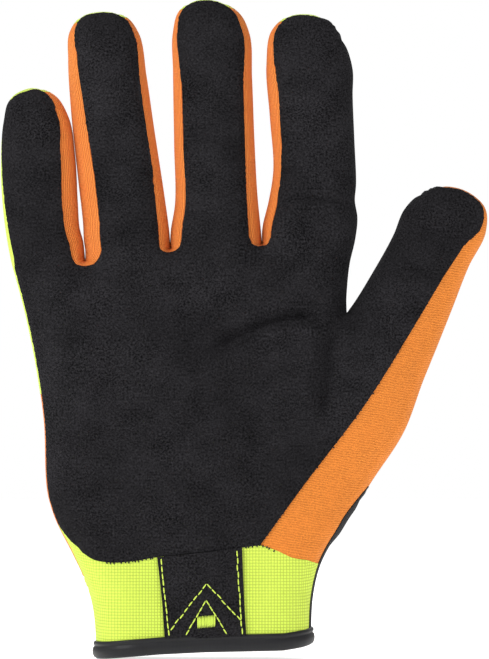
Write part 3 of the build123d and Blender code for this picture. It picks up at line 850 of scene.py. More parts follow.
def cuff_fronts(material):
    """The two woven pieces in front of the wrist, tucked under the palm."""
    f = FORM
    line = f.back_line
    a, b = f.cuff[0], f.corner
    z = f.p[:, 1]
    wrap = np.interp(z, [22, 27, 40, 46], [-1.4, 0.75, 0.9, 0.6])
    sheet = Sheet().strip(a, b, cuff_columns(wrap))
    top = smooth_line([tuple(line[b]), (-38, 39), (-30, 37.5), (-15.0, 37.5)], 1.0)
    tab = smooth_line([(-15.0, 37.5), (-12.0, 20), (-11.4, 4.2)], 1.0)
    sheet.patch(np.vstack([line[a:b + 1], top[1:], tab[1:], cut(tab[-1], line[a])]), -1)
    sheet.build("cuff_web_little_side", material, CLOTH_LIFT, size("webbing"), replaces=["cuff_front_pinky_side"])
    a, b = f.seam[1], f.cuff[1]
    sheet = Sheet().strip(a, b, cuff_columns(0.7 + 0 * z))
    top = smooth_line([(13.4, 41.0)] + CUFF_SEAM_THUMB + [tuple(line[a])], 1.0)
    tab = smooth_line([(13.4, 41.0), (12.4, 22), (12.6, 6.0)], 1.0)
    sheet.patch(np.vstack([top, line[a:b + 1][1:], cut(line[b], tab[-1]), tab[1:][::-1]]), -1)
    sheet.build("cuff_web_thumb_side", material, CLOTH_LIFT, size("webbing"), replaces=["cuff_front_thumb_side"])


def pull_tab(material):
    """The leather tab sewn over the gap in the cuff."""
    top = smooth_line([(-17.0, 34.6), (-1, 36.3), (14.0, 38.2)], 1.0)
    low = smooth_line([(-14.2, 4.4), (15.5, 5.9)], 1.0)
    left = smooth_line([TAB_LEFT[0], (-15.4, 20), TAB_LEFT[1]], 1.0)
    right = smooth_line([TAB_RIGHT[0], (14.6, 22), TAB_RIGHT[1]], 1.0)
    sheet = Sheet().patch(np.vstack([top, right[1:], low[::-1][1:], left[::-1][1:-1]]), -1)
    sheet.build("pull_tab_leather", material, TAB_LIFT, size("tab"), replaces=["pull_tab"])


def on_form(xz, side, lift):
    """Points on the glove's surface, and the directions out of it."""
    xz = np.atleast_2d(xz)
    e = 0.4
    y = surface(xz, side)
    dx = (surface(xz + [e, 0], side) - surface(xz - [e, 0], side)) / (2 * e)
    dz = (surface(xz + [0, e], side) - surface(xz - [0, e], side)) / (2 * e)
    n = np.stack([-dx, np.ones(len(xz)), -dz], axis=1) * side
    n /= np.linalg.norm(n, axis=1)[:, None]
    return np.stack([xz[:, 0], y, xz[:, 1]], axis=1) + n * lift, n


def stitches(name, lines, side, lift, pitch, length, width, material, across=False, wobble=0.12, ride="hand"):
    """Separate raised stitches along seams; across turns them over the seam like an overlock.

    pitch, length and width of a stitch in millimetres; lift off the form; wobble of a hand-fed seam.
    """
    bm = bmesh.new()
    rng = np.random.default_rng(7)
    for line in lines:
        ends = resample(smooth_line(line, 0.5), pitch)
        if len(ends) < 2:
            continue
        mid, t = (ends[:-1] + ends[1:]) / 2, np.diff(ends, axis=0)
        t /= np.linalg.norm(t, axis=1)[:, None]
        mid = mid + rng.normal(0, wobble, mid.shape)
        co, n = on_form(mid, side, lift)
        for k in range(len(mid)):
            run = Vector((t[k, 0], 0, t[k, 1]))
            out = Vector(n[k])
            run = (run - out * run.dot(out)).normalized()
            if across:
                run = run.cross(out).normalized()
            wide = run.cross(out).normalized()
            rings = []
            for u in np.linspace(-1, 1, 7):
                r = width / 2 * math.sqrt(max(0.05, 1 - (abs(u) ** 2.5)))
                c = Vector(co[k]) + run * (u * length / 2) + out * (-0.35 * u * u)
                rings.append([bm.verts.new((c + (wide * math.cos(a) + out * math.sin(a)) * r) * MM)
                              for a in np.linspace(0, 2 * math.pi, 7)[:-1]])
            for a, b in zip(rings[:-1], rings[1:]):
                for q in range(6):
                    bm.faces.new((a[q], a[(q + 1) % 6], b[(q + 1) % 6], b[q]))
            bm.faces.new(rings[0][::-1])
            bm.faces.new(rings[-1])
    bmesh.ops.recalc_face_normals(bm, faces=bm.faces[:])
    for f in bm.faces:
        f.smooth = True
    mesh = bpy.data.meshes.new(name)
    bm.to_mesh(mesh)
    bm.free()
    return finish_piece(place(name, mesh), material, ride)


def cuff_ring():
    """The opening's line, round the front and then the back, with its outward directions."""
    t = np.linspace(0, 1, 96)
    share = (1 - np.cos(math.pi * t)) / 2
    share = 0.5 * share + 0.5 * ease(share)
    x = CUFF_LEFT + (CUFF_RIGHT - CUFF_LEFT) * share
    z = np.interp(x, [-40, -36, -28, -16, 0, 29, 36, 40], [-1.3, -1.1, -0.3, 0.7, 1.5, 2.1, 3.1, 4.1])
    h = CUFF_DEPTH / 2 * cuff_round(np.minimum(x - CUFF_LEFT, CUFF_RIGHT - x))
    ring = np.vstack([np.stack([x, -h, z], axis=1), np.stack([x, h, z], axis=1)[::-1][1:-1]])
    length = np.linalg.norm(np.diff(np.vstack([ring, ring[:1]]), axis=0), axis=1).sum()
    ring = resample(np.vstack([ring, ring[:1]]), length / 220)[:-1]
    t = np.roll(ring, -1, axis=0) - np.roll(ring, 1, axis=0)
    n = np.stack([t[:, 1], -t[:, 0], np.zeros(len(t))], axis=1)
    n /= np.linalg.norm(n, axis=1)[:, None]
    if (n[:, :2] * ring[:, :2]).sum() < 0:
        n = -n
    return ring, n


BINDING = [(0.3, 5.15), (0.85, 4.95), (1.1, 4.45), (1.12, 3.95), (0.8, 3.5), (0.85, 3.15), (1.3, 2.65), (1.5, 1.5),
           (1.4, 0.4), (0.95, -0.6), (0.1, -1.2), (-0.9, -1.15), (-1.6, -0.6), (-1.95, 0.6), (-2.0, 2.4), (-1.9, 3.6),
           (-1.5, 4.6), (-1.05, 4.95)]


def binding(material):
    """Folded tape round the opening, stitched through near its middle."""
    ring, n = cuff_ring()
    m, k = len(ring), len(BINDING)
    co, uv = [], []
    s = 0.0
    for i in range(m):
        for j, (out, up) in enumerate(BINDING):
            ripple = 0.07 * noise.noise(Vector((i * 0.22, j * 0.35, 2.0)))
            co.append(ring[i] + n[i] * (out + ripple) + np.array([0, 0, up - 0.4]))
            uv.append((s, up + (20 if out < -0.9 else 0)))
        s += np.linalg.norm(ring[(i + 1) % m] - ring[i])
    faces = [((i % m) * k + j, (i % m) * k + (j + 1) % k, ((i + 1) % m) * k + (j + 1) % k, ((i + 1) % m) * k + j)
             for i in range(m) for j in range(k)]
    mesh = bpy.data.meshes.new("cuff_tape")
    mesh.from_pydata([tuple(q) for q in np.array(co) * MM], [], faces)
    set_pattern(mesh, uv)
    mesh.shade_smooth()
    obj = finish_piece(place("cuff_tape", mesh), material, "hand", replaces=["cuff_binding"])
    bm = bmesh.new()
    bm.from_mesh(obj.data)
    bmesh.ops.recalc_face_normals(bm, faces=bm.faces[:])
    bm.to_mesh(obj.data)
    bm.free()


def rounded(x0, x1, z0, z1, r):
    """A closed rounded rectangle, corners as arcs."""
    pts = []
    for cx, cz, a0 in ((x1 - r, z1 - r, 0), (x0 + r, z1 - r, 90), (x0 + r, z0 + r, 180), (x1 - r, z0 + r, 270)):
        for a in np.linspace(a0, a0 + 90, 6):
            pts.append((cx + r * math.cos(math.radians(a)), cz + r * math.sin(math.radians(a))))
    pts.append(pts[0])
    return resample(np.array(pts), 0.9)[:-1]


def strap_parts(rubber, hooks):
    """Closure at the back of the wrist: anchor, strap and the two fastening patches."""
    specs = [("strap_anchor_tab", "strap_anchor", (31.0, 36.4), (9.5, 30.5), 1.4, 2.5, 2.0, rubber, "hand"),
             ("strap_band", "strap", (-27.0, 30.8), (9.5, 30.5), 5.0, 3.0, 1.3, rubber, "closure_strap"),
             ("strap_hook_patch", "hook_patch", (-24.5, 5.5), (11.5, 28.5), 2.0, 1.68, 0.6, hooks, "closure_strap"),
             ("strap_loop_patch", "loop_patch", (-24.5, 13.5), (11.2, 28.6), 2.0, 1.05, 0.65, hooks, "hand")]
    for name, node, x, z, r, lift, thick, material, body in specs:
        border = rounded(x[0], x[1], z[0], z[1], r)
        sheet = Sheet().patch(border, 1)
        sheet.build(name, material, lift, thick, ride=body, replaces=[node])
    lines = [[(-23.5, 11.6), (0, 11.4), (27.5, 11.6)], [(-23.5, 28.4), (0, 28.6), (27.5, 28.4)],
             [(5.0, 13.4), (5.0, 26.8)]]
    stitches("strap_edge_stitches", lines, 1, 3.1, 2.8, 2.0, 0.55, "thread_black", ride="closure_strap")


PAD_TOP = [(-58.5, 129.5), (-40, 132.5), (-26, 134.0), (2, 136.8), (34, 138.0), (44.0, 137.0)]
PAD_LOW = [(-57.6, 105.8), (-40, 108.5), (-26, 110.0), (2, 112.6), (34, 114.0), (44.0, 113.4)]
PAD_CHANNELS = (-41.5, -11.5, 19.5)
PAD_ROUND = 7.5            # reach of the cushion's rounded edge


def pad_border():
    """The cushion's outline, a closed line."""
    right = smooth_line([PAD_TOP[-1], (46.2, 131), (46.2, 119), PAD_LOW[-1]], 0.9)[1:-1]
    left = smooth_line([PAD_LOW[0], (-60.4, 112), (-60.9, 123), PAD_TOP[0]], 0.9)[1:-1]
    return np.vstack([smooth_line(PAD_TOP, 0.9), right, smooth_line(PAD_LOW, 0.9)[::-1], left])


def back_stitching():
    """Topstitching round the cushion and beside the seams of the back."""
    edge = pad_border()
    middle = edge.mean(0)
    round_pad = np.vstack([edge, edge[:1]]) * [1.028, 1.13] - middle * [0.028, 0.13]
    stitches("pad_topstitching", [round_pad], 1, 0.26, 2.7, 2.0, 0.5, "thread_black", wobble=0.08)
    knuckle = [(-54.5, 95.2)] + KNUCKLE_SEAM[:2] + [(37.2, 97)]
    wrist = [(-36.2, 27.5)] + WRIST_SEAM + [(52, 59)]
    for name, seam, lift in (("back_topstitching", knuckle, 0.12), ("wrist_topstitching", wrist, 0.42)):
        rows = [offset_line(seam, shift) for shift in (-1.6, -3.4)]
        stitches(name, rows, 1, lift, 2.7, 2.0, 0.5, "thread_lime", wobble=0.08)


def knuckle_pad(material):
    """A padded bar over the knuckles with a channel between each pair."""
    border = pad_border()
    sheet = Sheet().patch(border, 1)
    co = np.vstack(sheet.co)
    xz = co[:, [0, 2]]
    d, _ = distance_to(np.vstack([border, border[:1]]), xz)
    for x in PAD_CHANNELS:
        c = np.abs(xz[:, 0] - x - 0.05 * (xz[:, 1] - 120))
        d = np.minimum(d, c)
    crown = size("cushion") * np.sqrt(1 - (1 - np.clip(d / PAD_ROUND, 0, 1)) ** 2)
    co[:, 1] += 0.25 + crown
    sheet.co = [co]
    obj = sheet.build("knuckle_cushion", material, 0.3, 0.9, replaces=["knuckle_pad"])


def cuff_stitching():
    """Lime thread on the tab and black overlock where the cuff meets the palm."""
    lines = [[(-15.6, 34.2), (-14.2, 20), (-12.4, 5.9)], [(12.2, 37.2), (13.0, 22), (14.0, 6.6)],
             [(-12.3, 7.8), (1.1, 25.1)], [(1.1, 25.1), (13.6, 11.4)],
             [(-6.5, 6.2), (0.8, 18.8)], [(0.8, 18.8), (8.6, 6.8)]]
    stitches("tab_stitches", lines, -1, 1.36, 2.6, 2.5, 0.5, "thread_lime", wobble=0.1)
    bar = [[(-2.0 + 0.55 * k, 8.6 + 0.05 * k), (-2.0 + 0.55 * k, 13.2 + 0.05 * k)] for k in range(12)]
    stitches("tab_bar_tack", bar, -1, 1.62, 4.6, 4.4, 0.56, "thread_lime", wobble=0.07)
    left = [(-36, 32.6), (-26.3, 33.1), (-17.5, 34.6)]
    right = [(14.8, 38.2), (20.6, 39.0), (26, 37.1)]
    stitches("cuff_overlock", [offset_line(left, -0.1), offset_line(right, -0.1)], -1, 0.3, 1.3, 1.0, 0.55,
             "thread_black", across=True, wobble=0.22)
    stitches("thumb_seam_stitches", [terry_line(0.1)[2:150]], -1, 0.2, 1.9, 0.9, 0.5,
             "thread_black", across=True, wobble=0.2)


# ---- materials -----------------------------------------------------------------------------------
class Recipe:
    """Nodes of one material or shared effect."""

    def __init__(self, tree):
        self.tree = tree

    def add(self, kind, inputs=None, **settings):
        node = self.tree.nodes.new(kind)
        for key, value in settings.items():
            setattr(node, key, value)
        return self.fill(node, inputs or {})

    def fill(self, node, inputs):
        """Links or sets the inputs of a node."""
        for key, value in inputs.items():
            if isinstance(value, bpy.types.NodeSocket):
                self.tree.links.new(value, node.inputs[key])
            else:
                node.inputs[key].default_value = value
        return node

    def math(self, operation, a, b=0.5):
        return self.add("ShaderNodeMath", {0: a, 1: b}, operation=operation).outputs[0]

    def spread(self, value, low, high, out_low=0.0, out_high=1.0):
        return self.add("ShaderNodeMapRange", {0: value, 1: low, 2: high, 3: out_low, 4: out_high}).outputs[0]

    def blend(self, mask, a, b):
        return self.add("ShaderNodeMix", {0: mask, 6: a, 7: b}, data_type="RGBA").outputs[2]


def effect(name, inputs, outputs, build):
    """A shared effect as a node group."""
    tree = bpy.data.node_groups.new(name, "ShaderNodeTree")
    for label, kind, default in inputs:
        socket = tree.interface.new_socket(label, in_out="INPUT", socket_type=kind)
        if default is not None:
            socket.default_value = default
    for label, kind in outputs:
        tree.interface.new_socket(label, in_out="OUTPUT", socket_type=kind)
    r = Recipe(tree)
    start, end = r.add("NodeGroupInput"), r.add("NodeGroupOutput")
    for label, value in build(r, start.outputs).items():
        tree.links.new(value, end.inputs[label])


FLOAT, VECTOR = "NodeSocketFloat", "NodeSocketVector"


def fibre(r, at):
    fine = r.add("ShaderNodeTexNoise",
                 {"Vector": at["Vector"], "Scale": at["Scale"], "Detail": 3.0, "Roughness": 0.65})
    slow = r.add("ShaderNodeTexNoise", {"Vector": at["Vector"], "Scale": 95.0, "Detail": 2.0, "Roughness": 0.5})
    mask = r.math("ADD", r.math("MULTIPLY", fine.outputs[0], 0.78), r.math("MULTIPLY", slow.outputs[0], 0.22))
    return {"Mask": r.spread(mask, at["Low"], at["High"]), "Height": fine.outputs[0]}


def ribs(r, at):
    part = r.add("ShaderNodeSeparateXYZ", {0: at["Vector"]})
    wander = r.add("ShaderNodeTexNoise", {"Vector": at["Vector"], "Scale": 260.0, "Detail": 2.0})
    shift = r.math("MULTIPLY", r.math("SUBTRACT", wander.outputs[0], 0.5), at["Wander"])
    u = r.math("ADD", r.math("DIVIDE", part.outputs[0], at["Pitch"]), shift)
    wave = r.math("SINE", r.math("MULTIPLY", u, 6.2832))
    rib = r.spread(wave, -1.0, 1.0)
    loop = r.spread(r.math("SINE", r.math("MULTIPLY", r.math("DIVIDE", part.outputs[1], at["Pitch"]), 9.0)),
                    -1.0, 1.0)
    # The mask follows the ribs' relief, so a finish coloured by it gets painted shade in the grooves.
    return {"Mask": rib, "Height": r.math("ADD", rib, r.math("MULTIPLY", loop, 0.3))}


def square_weave(r, at):
    part = r.add("ShaderNodeSeparateXYZ", {0: at["Vector"]})
    waves = []
    for k in (0, 1):
        q = r.math("MULTIPLY", r.math("DIVIDE", part.outputs[k], at["Pitch"]), 3.1416)
        waves.append(r.math("POWER", r.math("ABSOLUTE", r.math("SINE", q), 0.0), 0.6))
    height = r.math("MULTIPLY", waves[0], waves[1])
    # The mask is the relief, so a finish coloured by it gets painted shade in the gaps between the yarns.
    return {"Mask": height, "Height": height}


def mottle(r, at):
    big = r.add("ShaderNodeTexNoise", {"Vector": at["Vector"], "Scale": at["Scale"], "Detail": 3.0, "Roughness": 0.6})
    return {"Mask": r.spread(big.outputs[0], 0.35, 0.65)}


def shared_effects():
    vec = [("Vector", VECTOR, None)]
    both = [("Mask", FLOAT), ("Height", FLOAT)]
    effect("Fibre speckle", vec + [("Scale", FLOAT, 1500.0), ("Low", FLOAT, 0.4), ("High", FLOAT, 0.62)], both, fibre)
    effect("Knitted ribs", vec + [("Pitch", FLOAT, 0.0009), ("Wander", FLOAT, 0.6)], both, ribs)
    effect("Square weave", vec + [("Pitch", FLOAT, 0.0011)], both, square_weave)
    effect("Uneven dye", vec + [("Scale", FLOAT, 60.0)], [("Mask", FLOAT)], mottle)


def start_material(name, roughness, sheen, tint, coat=0.0, specular=0.2, sheen_roughness=0.5):
    """An empty finish with its uniform values set: its recipe, its shader and the coordinates."""
    mat = bpy.data.materials.get(name) or bpy.data.materials.new(name)
    mat.use_nodes = True
    mat.node_tree.nodes.clear()
    r = Recipe(mat.node_tree)
    shader = r.add("ShaderNodeBsdfPrincipled", {
        "Roughness": roughness, "Sheen Weight": sheen, "Sheen Tint": tint, "Sheen Roughness": sheen_roughness,
        "Coat Weight": coat, "Specular IOR Level": specular})
    r.add("ShaderNodeOutputMaterial", {"Surface": shader.outputs[0]})
    return r, shader, r.add("ShaderNodeTexCoord").outputs


def use(r, name, **inputs):
    """The outputs of a shared effect."""
    return r.fill(r.add("ShaderNodeGroup", node_tree=bpy.data.node_groups[name]), inputs).outputs


def finish_material(r, shader, colour, height, distance, strength=1.0):
    r.tree.links.new(colour, shader.inputs["Base Color"])
    bump = r.add("ShaderNodeBump", {"Height": height, "Strength": strength, "Distance": distance})
    r.tree.links.new(bump.outputs[0], shader.inputs["Normal"])


def shade(colour, factor):
    """A lighter or darker version of a colour."""
    return tuple(min(1.0, c * factor) for c in colour[:3]) + (1.0,)


def patches(r, base, colour, at, scale, share, factor):
    """Soft patches of another shade over part of a finish."""
    dye = use(r, "Uneven dye", Vector=at, Scale=scale)
    return r.blend(r.math("MULTIPLY", dye["Mask"], share), base, shade(colour, factor))


def suede(colour):
    r, shader, at = start_material("black_suede", 0.95, 0.02, (0.5, 0.5, 0.52, 1), 0.0, 0.06, 0.6)
    nap = use(r, "Fibre speckle", Vector=at["UV"], Scale=1350.0, Low=0.38, High=0.62)
    hair = use(r, "Fibre speckle", Vector=at["UV"], Scale=620.0, Low=0.4, High=0.6)
    base = r.blend(nap["Mask"], shade(colour, 0.05), shade(colour, 3.0))
    base = r.blend(r.math("MULTIPLY", hair["Mask"], 0.35), base, shade(colour, 0.4))
    base = patches(r, base, colour, at["UV"], 42.0, 0.25, 1.4)
    base = patches(r, base, colour, at["UV"], 16.0, 0.5, 0.35)
    finish_material(r, shader, base, nap["Height"], 0.0005, 0.9)


def towelling(colour):
    r, shader, at = start_material("orange_terry", 0.9, 0.12, (1, 0.8, 0.6, 1), 0.0, 0.1)
    loops = r.add("ShaderNodeTexVoronoi", {"Vector": at["UV"], "Scale": 1750.0, "Randomness": 0.75}, feature="F1")
    crown = r.spread(loops.outputs["Distance"], 0.0, 0.7, 1.0, 0.0)
    turned = r.add("ShaderNodeVectorRotate", {"Vector": at["UV"], "Angle": 1.75}).outputs[0]
    rows = use(r, "Knitted ribs", Vector=turned, Pitch=0.0009, Wander=1.3)
    crown = r.math("ADD", r.math("MULTIPLY", crown, 0.6), r.math("MULTIPLY", rows["Mask"], 0.4))
    # Painted shade and light: the towelling is darker between its loops and rows and lighter on their tops, following
    # the relief that the bump uses.
    base = r.blend(crown, shade(colour, 0.56), shade(colour, 1.2))
    finish_material(r, shader, patches(r, base, colour, at["UV"], 120.0, 0.35, 0.88), crown, 0.00035, 0.7)


def hook_tape(colour):
    r, shader, at = start_material("black_hook_loop", 0.85, 0.05, (0.5, 0.5, 0.5, 1))
    cells = r.add("ShaderNodeTexVoronoi", {"Vector": at["UV"], "Scale": 1300.0}, feature="F1")
    crown = r.spread(cells.outputs["Distance"], 0.0, 0.7, 1.0, 0.0)
    # Painted shade and light: darker between the hooks and loops and lighter on their tops, following the relief that
    # the bump uses.
    base = r.blend(crown, shade(colour, 0.4), shade(colour, 1.5))
    finish_material(r, shader, patches(r, base, colour, at["UV"], 90.0, 0.25, 1.2), crown, 0.0004, 0.8)


# The plain cloths: the colour each takes; roughness, sheen, sheen tint, coat and gloss; the shared pattern, its
# coordinates and its settings; shades of its low and high parts, which on the ribs and weaves are painted shade in
# the grooves and painted light on the ridges, and on the strap's speckle its grain; size, share and shade of the
# uneven dye; depth and strength of the relief.
WARM, GREENISH, GREY = (1, 0.75, 0.6, 1), (0.9, 1, 0.6, 1), (0.6, 0.6, 0.6, 1)
CLOTHS = {
    "orange_knit": ("knit", (0.8, 0.08, WARM, 0.0, 0.12), "Knitted ribs", "UV",
                    {"Pitch": 0.00082, "Wander": 0.5}, (0.7, 1.5), (160.0, 0.3, 0.9), (0.00036, 0.9)),
    "lime_webbing": ("lime", (0.75, 0.05, GREENISH), "Square weave", "UV",
                     {"Pitch": 0.00112}, (0.55, 1.04), (70.0, 0.2, 0.92), (0.00022, 0.7)),
    "lime_stretch": ("lime", (0.65, 0.05, GREENISH), "Knitted ribs", "UV",
                     {"Pitch": 0.0006, "Wander": 0.15}, (0.76, 0.94), (50.0, 0.25, 0.93), (0.00012, 0.6)),
    "black_neoprene": ("black", (0.85, 0.03, GREY), "Square weave", "UV",
                       {"Pitch": 0.0009}, (0.55, 1.2), (60.0, 0.3, 1.4), (0.0002, 0.7)),
    "black_binding": ("black", (0.5, 0.02, GREY, 0.05), "Knitted ribs", "UV",
                      {"Pitch": 0.0005, "Wander": 0.2}, (0.7, 1.2), (110.0, 0.35, 1.5), (0.00007, 0.5)),
    "black_strap": ("black", (0.5, 0.05, GREY, 0.08), "Fibre speckle", "Object",
                    {"Scale": 1400.0, "Low": 0.35, "High": 0.7}, (0.75, 1.3), (55.0, 0.3, 1.5), (0.00008, 0.5)),
}


def cloth(name, colours):
    """One of the plain cloths."""
    key, surface, pattern, where, settings, (dark, light), dye, relief = CLOTHS[name]
    colour = getattr(colours, key)
    r, shader, at = start_material(name, *surface)
    weave = use(r, pattern, Vector=at[where], **settings)
    # Painted shade and light: the pattern's relief also sets the colour, darker where it is low and lighter where it
    # is high (on the strap, speckled grain).
    base = r.blend(weave["Mask"], shade(colour, dark), shade(colour, light))
    finish_material(r, shader, patches(r, base, colour, at[where], *dye), weave["Height"], *relief)


def thread(name, colour):
    r, shader, at = start_material(name, 0.55, 0.15, (1, 1, 1, 1))
    twist = r.add("ShaderNodeTexWave", {"Vector": at["Object"], "Scale": 900.0, "Distortion": 2.0},
                  bands_direction="DIAGONAL")
    # Painted shade and light: the twist's grooves are darker and its ridges lighter, following the relief that the
    # bump uses.
    base = r.blend(twist.outputs["Fac"], shade(colour, 0.78), shade(colour, 1.08))
    finish_material(r, shader, base, twist.outputs["Fac"], 0.00008, 0.5)


def floor_paint(colour):
    r, shader, at = start_material("studio_floor", 0.9, 0.0, (1, 1, 1, 1))
    dye = use(r, "Uneven dye", Vector=at["Object"], Scale=4.0)
    shader.inputs["Emission Color"].default_value = (1.0, 1.0, 1.0, 1.0)
    shader.inputs["Emission Strength"].default_value = 0.7
    finish_material(r, shader, r.blend(dye["Mask"], shade(colour, 0.985), shade(colour, 1.0)), dye["Mask"],
                    0.0001, 0.1)


# ---- stage ---------------------------------------------------------------------------------------
def studio(settings):
    mesh = bpy.data.meshes.new("floor_mesh")
    bm = bmesh.new()
    bmesh.ops.create_circle(bm, cap_ends=True, segments=96, radius=2.5)
    bm.to_mesh(mesh)
    bm.free()
    floor = place("studio_floor", mesh)
    floor.location = (0, 0, CAD_BOX[0].z - 0.0012)
    floor_paint(settings.floor)
    mesh.materials.append(bpy.data.materials["studio_floor"])
    world = bpy.data.worlds.new("studio_light")
    world.use_nodes = True
    sky = Recipe(world.node_tree)
    seen = sky.add("ShaderNodeLightPath").outputs["Is Camera Ray"]
    world.node_tree.nodes["Background"].inputs[0].default_value = (1.0, 1.0, 1.0, 1.0)
    world.node_tree.links.new(sky.spread(seen, 0.0, 1.0, settings.ambient, 1.0),
                              world.node_tree.nodes["Background"].inputs[1])
    bpy.context.scene.world = world
    for name, spot, size, power in (("key", (-0.75, -0.6, 0.8), 0.6, settings.key_power),
                                    ("fill", (0.8, -0.7, 0.25), 0.9, settings.key_power * 0.25),
                                    ("rim", (0.1, 0.9, 0.7), 0.8, settings.key_power * 0.6)):
        light = bpy.data.lights.new(name, "AREA")
        light.size, light.energy = size, power
        lamp = place(name, light)
        lamp.location = spot
        lamp.rotation_euler = (Vector((0.01, 0, 0.11)) - Vector(spot)).to_track_quat("-Z", "Y").to_euler()
    camera = bpy.data.cameras.new("camera")
    camera.lens = settings.lens
    camera.sensor_width = 36.0
    camera.clip_start, camera.clip_end = 0.05, 20.0
    view = place("camera", camera)
    reach = settings.view_height / 2 / (18.0 / settings.lens)
    view.location = (settings.view_x, -reach, settings.view_z)
    view.rotation_euler = (math.radians(90), 0, 0)
    bpy.context.scene.camera = view
    bpy.context.scene.view_settings.view_transform = "Standard"


# ---- settings and operators ------------------------------------------------------------------------
def colour_setting(name, text, default):
    return bpy.props.FloatVectorProperty(name=name, description=text, default=default, min=0, max=1, size=3,
                                         subtype="COLOR")


class GloveColours(bpy.types.PropertyGroup):
    leather: colour_setting("Leather", "Nap colour of the palm leather", (0.0130, 0.0124, 0.0138))
    knit: colour_setting("Knit", "Colour of the strips between the fingers", (0.93, 0.225, 0.045))
    towel: colour_setting("Towelling", "Colour of the thumb's towelling", (0.92, 0.27, 0.045))
    lime: colour_setting("Lime", "Colour of the cuff webbing and the back", (0.70, 0.89, 0.11))
    black: colour_setting("Black trim", "Colour of the binding, strap and neoprene", (0.014, 0.014, 0.016))


def length_setting(name, text, default):
    return bpy.props.FloatProperty(name=name, description=text, default=default, min=0.0001, unit="LENGTH",
                                   precision=4)


class GloveSizes(bpy.types.PropertyGroup):
    leather: length_setting("Leather", "Thickness of the palm leather", 0.0009)
    knit: length_setting("Knit", "Thickness of the strips between the fingers", 0.0007)
    towelling: length_setting("Towelling", "Thickness of the thumb's towelling", 0.0009)
    back_cloth: length_setting("Back cloth", "Thickness of the cloth on the back", 0.0008)
    webbing: length_setting("Webbing", "Thickness of the cuff webbing", 0.0011)
    neoprene: length_setting("Neoprene", "Thickness of the wrist panel", 0.0015)
    tab: length_setting("Tab", "Thickness of the pull tab", 0.0015)
    cushion: length_setting("Cushion", "Height of the knuckle cushion", 0.0023)


class StageSettings(bpy.types.PropertyGroup):
    lens: bpy.props.FloatProperty(name="Lens", description="Focal length of the camera", default=400.0, unit="CAMERA")
    view_height: bpy.props.FloatProperty(name="View height", description="Height that the picture shows",
                                         default=0.2422, unit="LENGTH")
    view_x: bpy.props.FloatProperty(name="View across", description="Middle of the picture", default=0.01488,
                                    unit="LENGTH")
    view_z: bpy.props.FloatProperty(name="View up", description="Middle of the picture", default=0.1178,
                                    unit="LENGTH")
    ambient: bpy.props.FloatProperty(name="Surround", description="Strength of the light from all sides",
                                     default=0.38)
    key_power: bpy.props.FloatProperty(name="Key light", description="Power of the main light", default=9.5,
                                       unit="POWER")
    floor: colour_setting("Floor", "Colour of the studio floor", (0.95, 0.95, 0.95))


class MakeMaterials(bpy.types.Operator):
    """Mix every finish of the glove"""
    bl_idname = "glove.materials"
    bl_label = "Materials"

    def execute(self, context):
        c = context.scene.glove_colours
        shared_effects()
        suede(c.leather)
        towelling(c.towel)
        hook_tape(c.black)
        for name in CLOTHS:
            cloth(name, c)
        thread("thread_lime", c.lime)
        thread("thread_black", c.black)
        return {"FINISHED"}


class MakePalm(bpy.types.Operator):
    """Cut the leather palm"""
    bl_idname = "glove.palm"
    bl_label = "Palm"

    def execute(self, context):
        palm("black_suede")
        return {"FINISHED"}


class MakeFingers(bpy.types.Operator):
    """Cut the front, back and side strips of each finger"""
    bl_idname = "glove.fingers"
    bl_label = "Fingers"

    def execute(self, context):
        for name in ORDER[:4]:
            for part in ("lower", "upper"):
                digit_panel(name, part, -1, "black_suede", f"{name}_front_{part}", LEATHER_LIFT, size("leather"))
                digit_panel(name, part, 1, "lime_stretch", f"{name}_back_{part}", CLOTH_LIFT, size("back_cloth"))
                for side in ("inner", "outer"):
                    if f"{name}_fourchette_{side}_{part}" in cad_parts:
                        fourchette(name, side, part, "orange_knit")
        for left, right in zip(ORDER[:3], ORDER[1:4]):
            web(left, right, "orange_knit")
        return {"FINISHED"}


class MakeThumb(bpy.types.Operator):
    """Cut the thumb and the towelling at its base"""
    bl_idname = "glove.thumb"
    bl_label = "Thumb"

    def execute(self, context):
        thumb_panels("black_suede", "orange_terry")
        thumb_base("orange_terry")
        return {"FINISHED"}


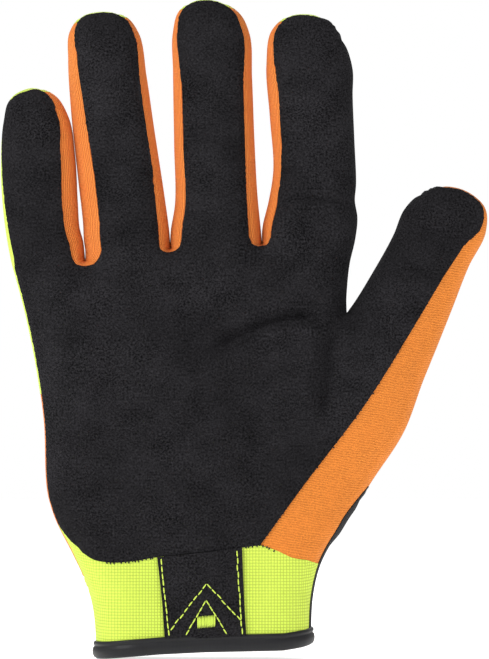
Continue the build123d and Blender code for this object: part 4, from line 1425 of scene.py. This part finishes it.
class MakeBack(bpy.types.Operator):
    """Cut the back of the hand and its knuckle cushion"""
    bl_idname = "glove.back"
    bl_label = "Back"

    def execute(self, context):
        back_panels("lime_stretch", "orange_knit", "black_neoprene")
        knuckle_pad("black_neoprene")
        back_stitching()
        return {"FINISHED"}


class MakeCuff(bpy.types.Operator):
    """Make the cuff, its tab, its binding and their stitching"""
    bl_idname = "glove.cuff"
    bl_label = "Cuff"

    def execute(self, context):
        cuff_fronts("lime_webbing")
        pull_tab("black_suede")
        binding("black_binding")
        cuff_stitching()
        return {"FINISHED"}


class MakeStrap(bpy.types.Operator):
    """Make the closure strap and its fastening patches"""
    bl_idname = "glove.strap"
    bl_label = "Strap"

    def execute(self, context):
        strap_parts("black_strap", "black_hook_loop")
        return {"FINISHED"}


class MakeStage(bpy.types.Operator):
    """Set up the floor, lights and camera"""
    bl_idname = "glove.stage"
    bl_label = "Stage"

    def execute(self, context):
        studio(context.scene.glove_stage)
        return {"FINISHED"}


STEPS = (MakeMaterials, MakePalm, MakeFingers, MakeThumb, MakeBack, MakeCuff, MakeStrap, MakeStage)


class GlovePanel(bpy.types.Panel):
    """Lists the settings and the steps"""
    bl_idname = "VIEW3D_PT_glove"
    bl_label = "Work Glove"
    bl_space_type = "VIEW_3D"
    bl_region_type = "UI"
    bl_category = "Glove"

    def draw(self, context):
        scene = context.scene
        for group in (scene.glove_sizes, scene.glove_colours, scene.glove_stage):
            for key in group.__annotations__:
                self.layout.prop(group, key)
        for step in STEPS:
            self.layout.operator(step.bl_idname)


CLASSES = (GloveSizes, GloveColours, StageSettings) + STEPS + (GlovePanel,)


def register():
    for cls in CLASSES:
        bpy.utils.register_class(cls)
    bpy.types.Scene.glove_sizes = bpy.props.PointerProperty(type=GloveSizes)
    bpy.types.Scene.glove_colours = bpy.props.PointerProperty(type=GloveColours)
    bpy.types.Scene.glove_stage = bpy.props.PointerProperty(type=StageSettings)


def unregister():
    del bpy.types.Scene.glove_sizes
    del bpy.types.Scene.glove_colours
    del bpy.types.Scene.glove_stage
    for cls in reversed(CLASSES):
        bpy.utils.unregister_class(cls)


def main():
    register()
    for step in STEPS:
        getattr(bpy.ops.glove, step.bl_idname.split(".")[1])()


if __name__ == "__main__":
    main()
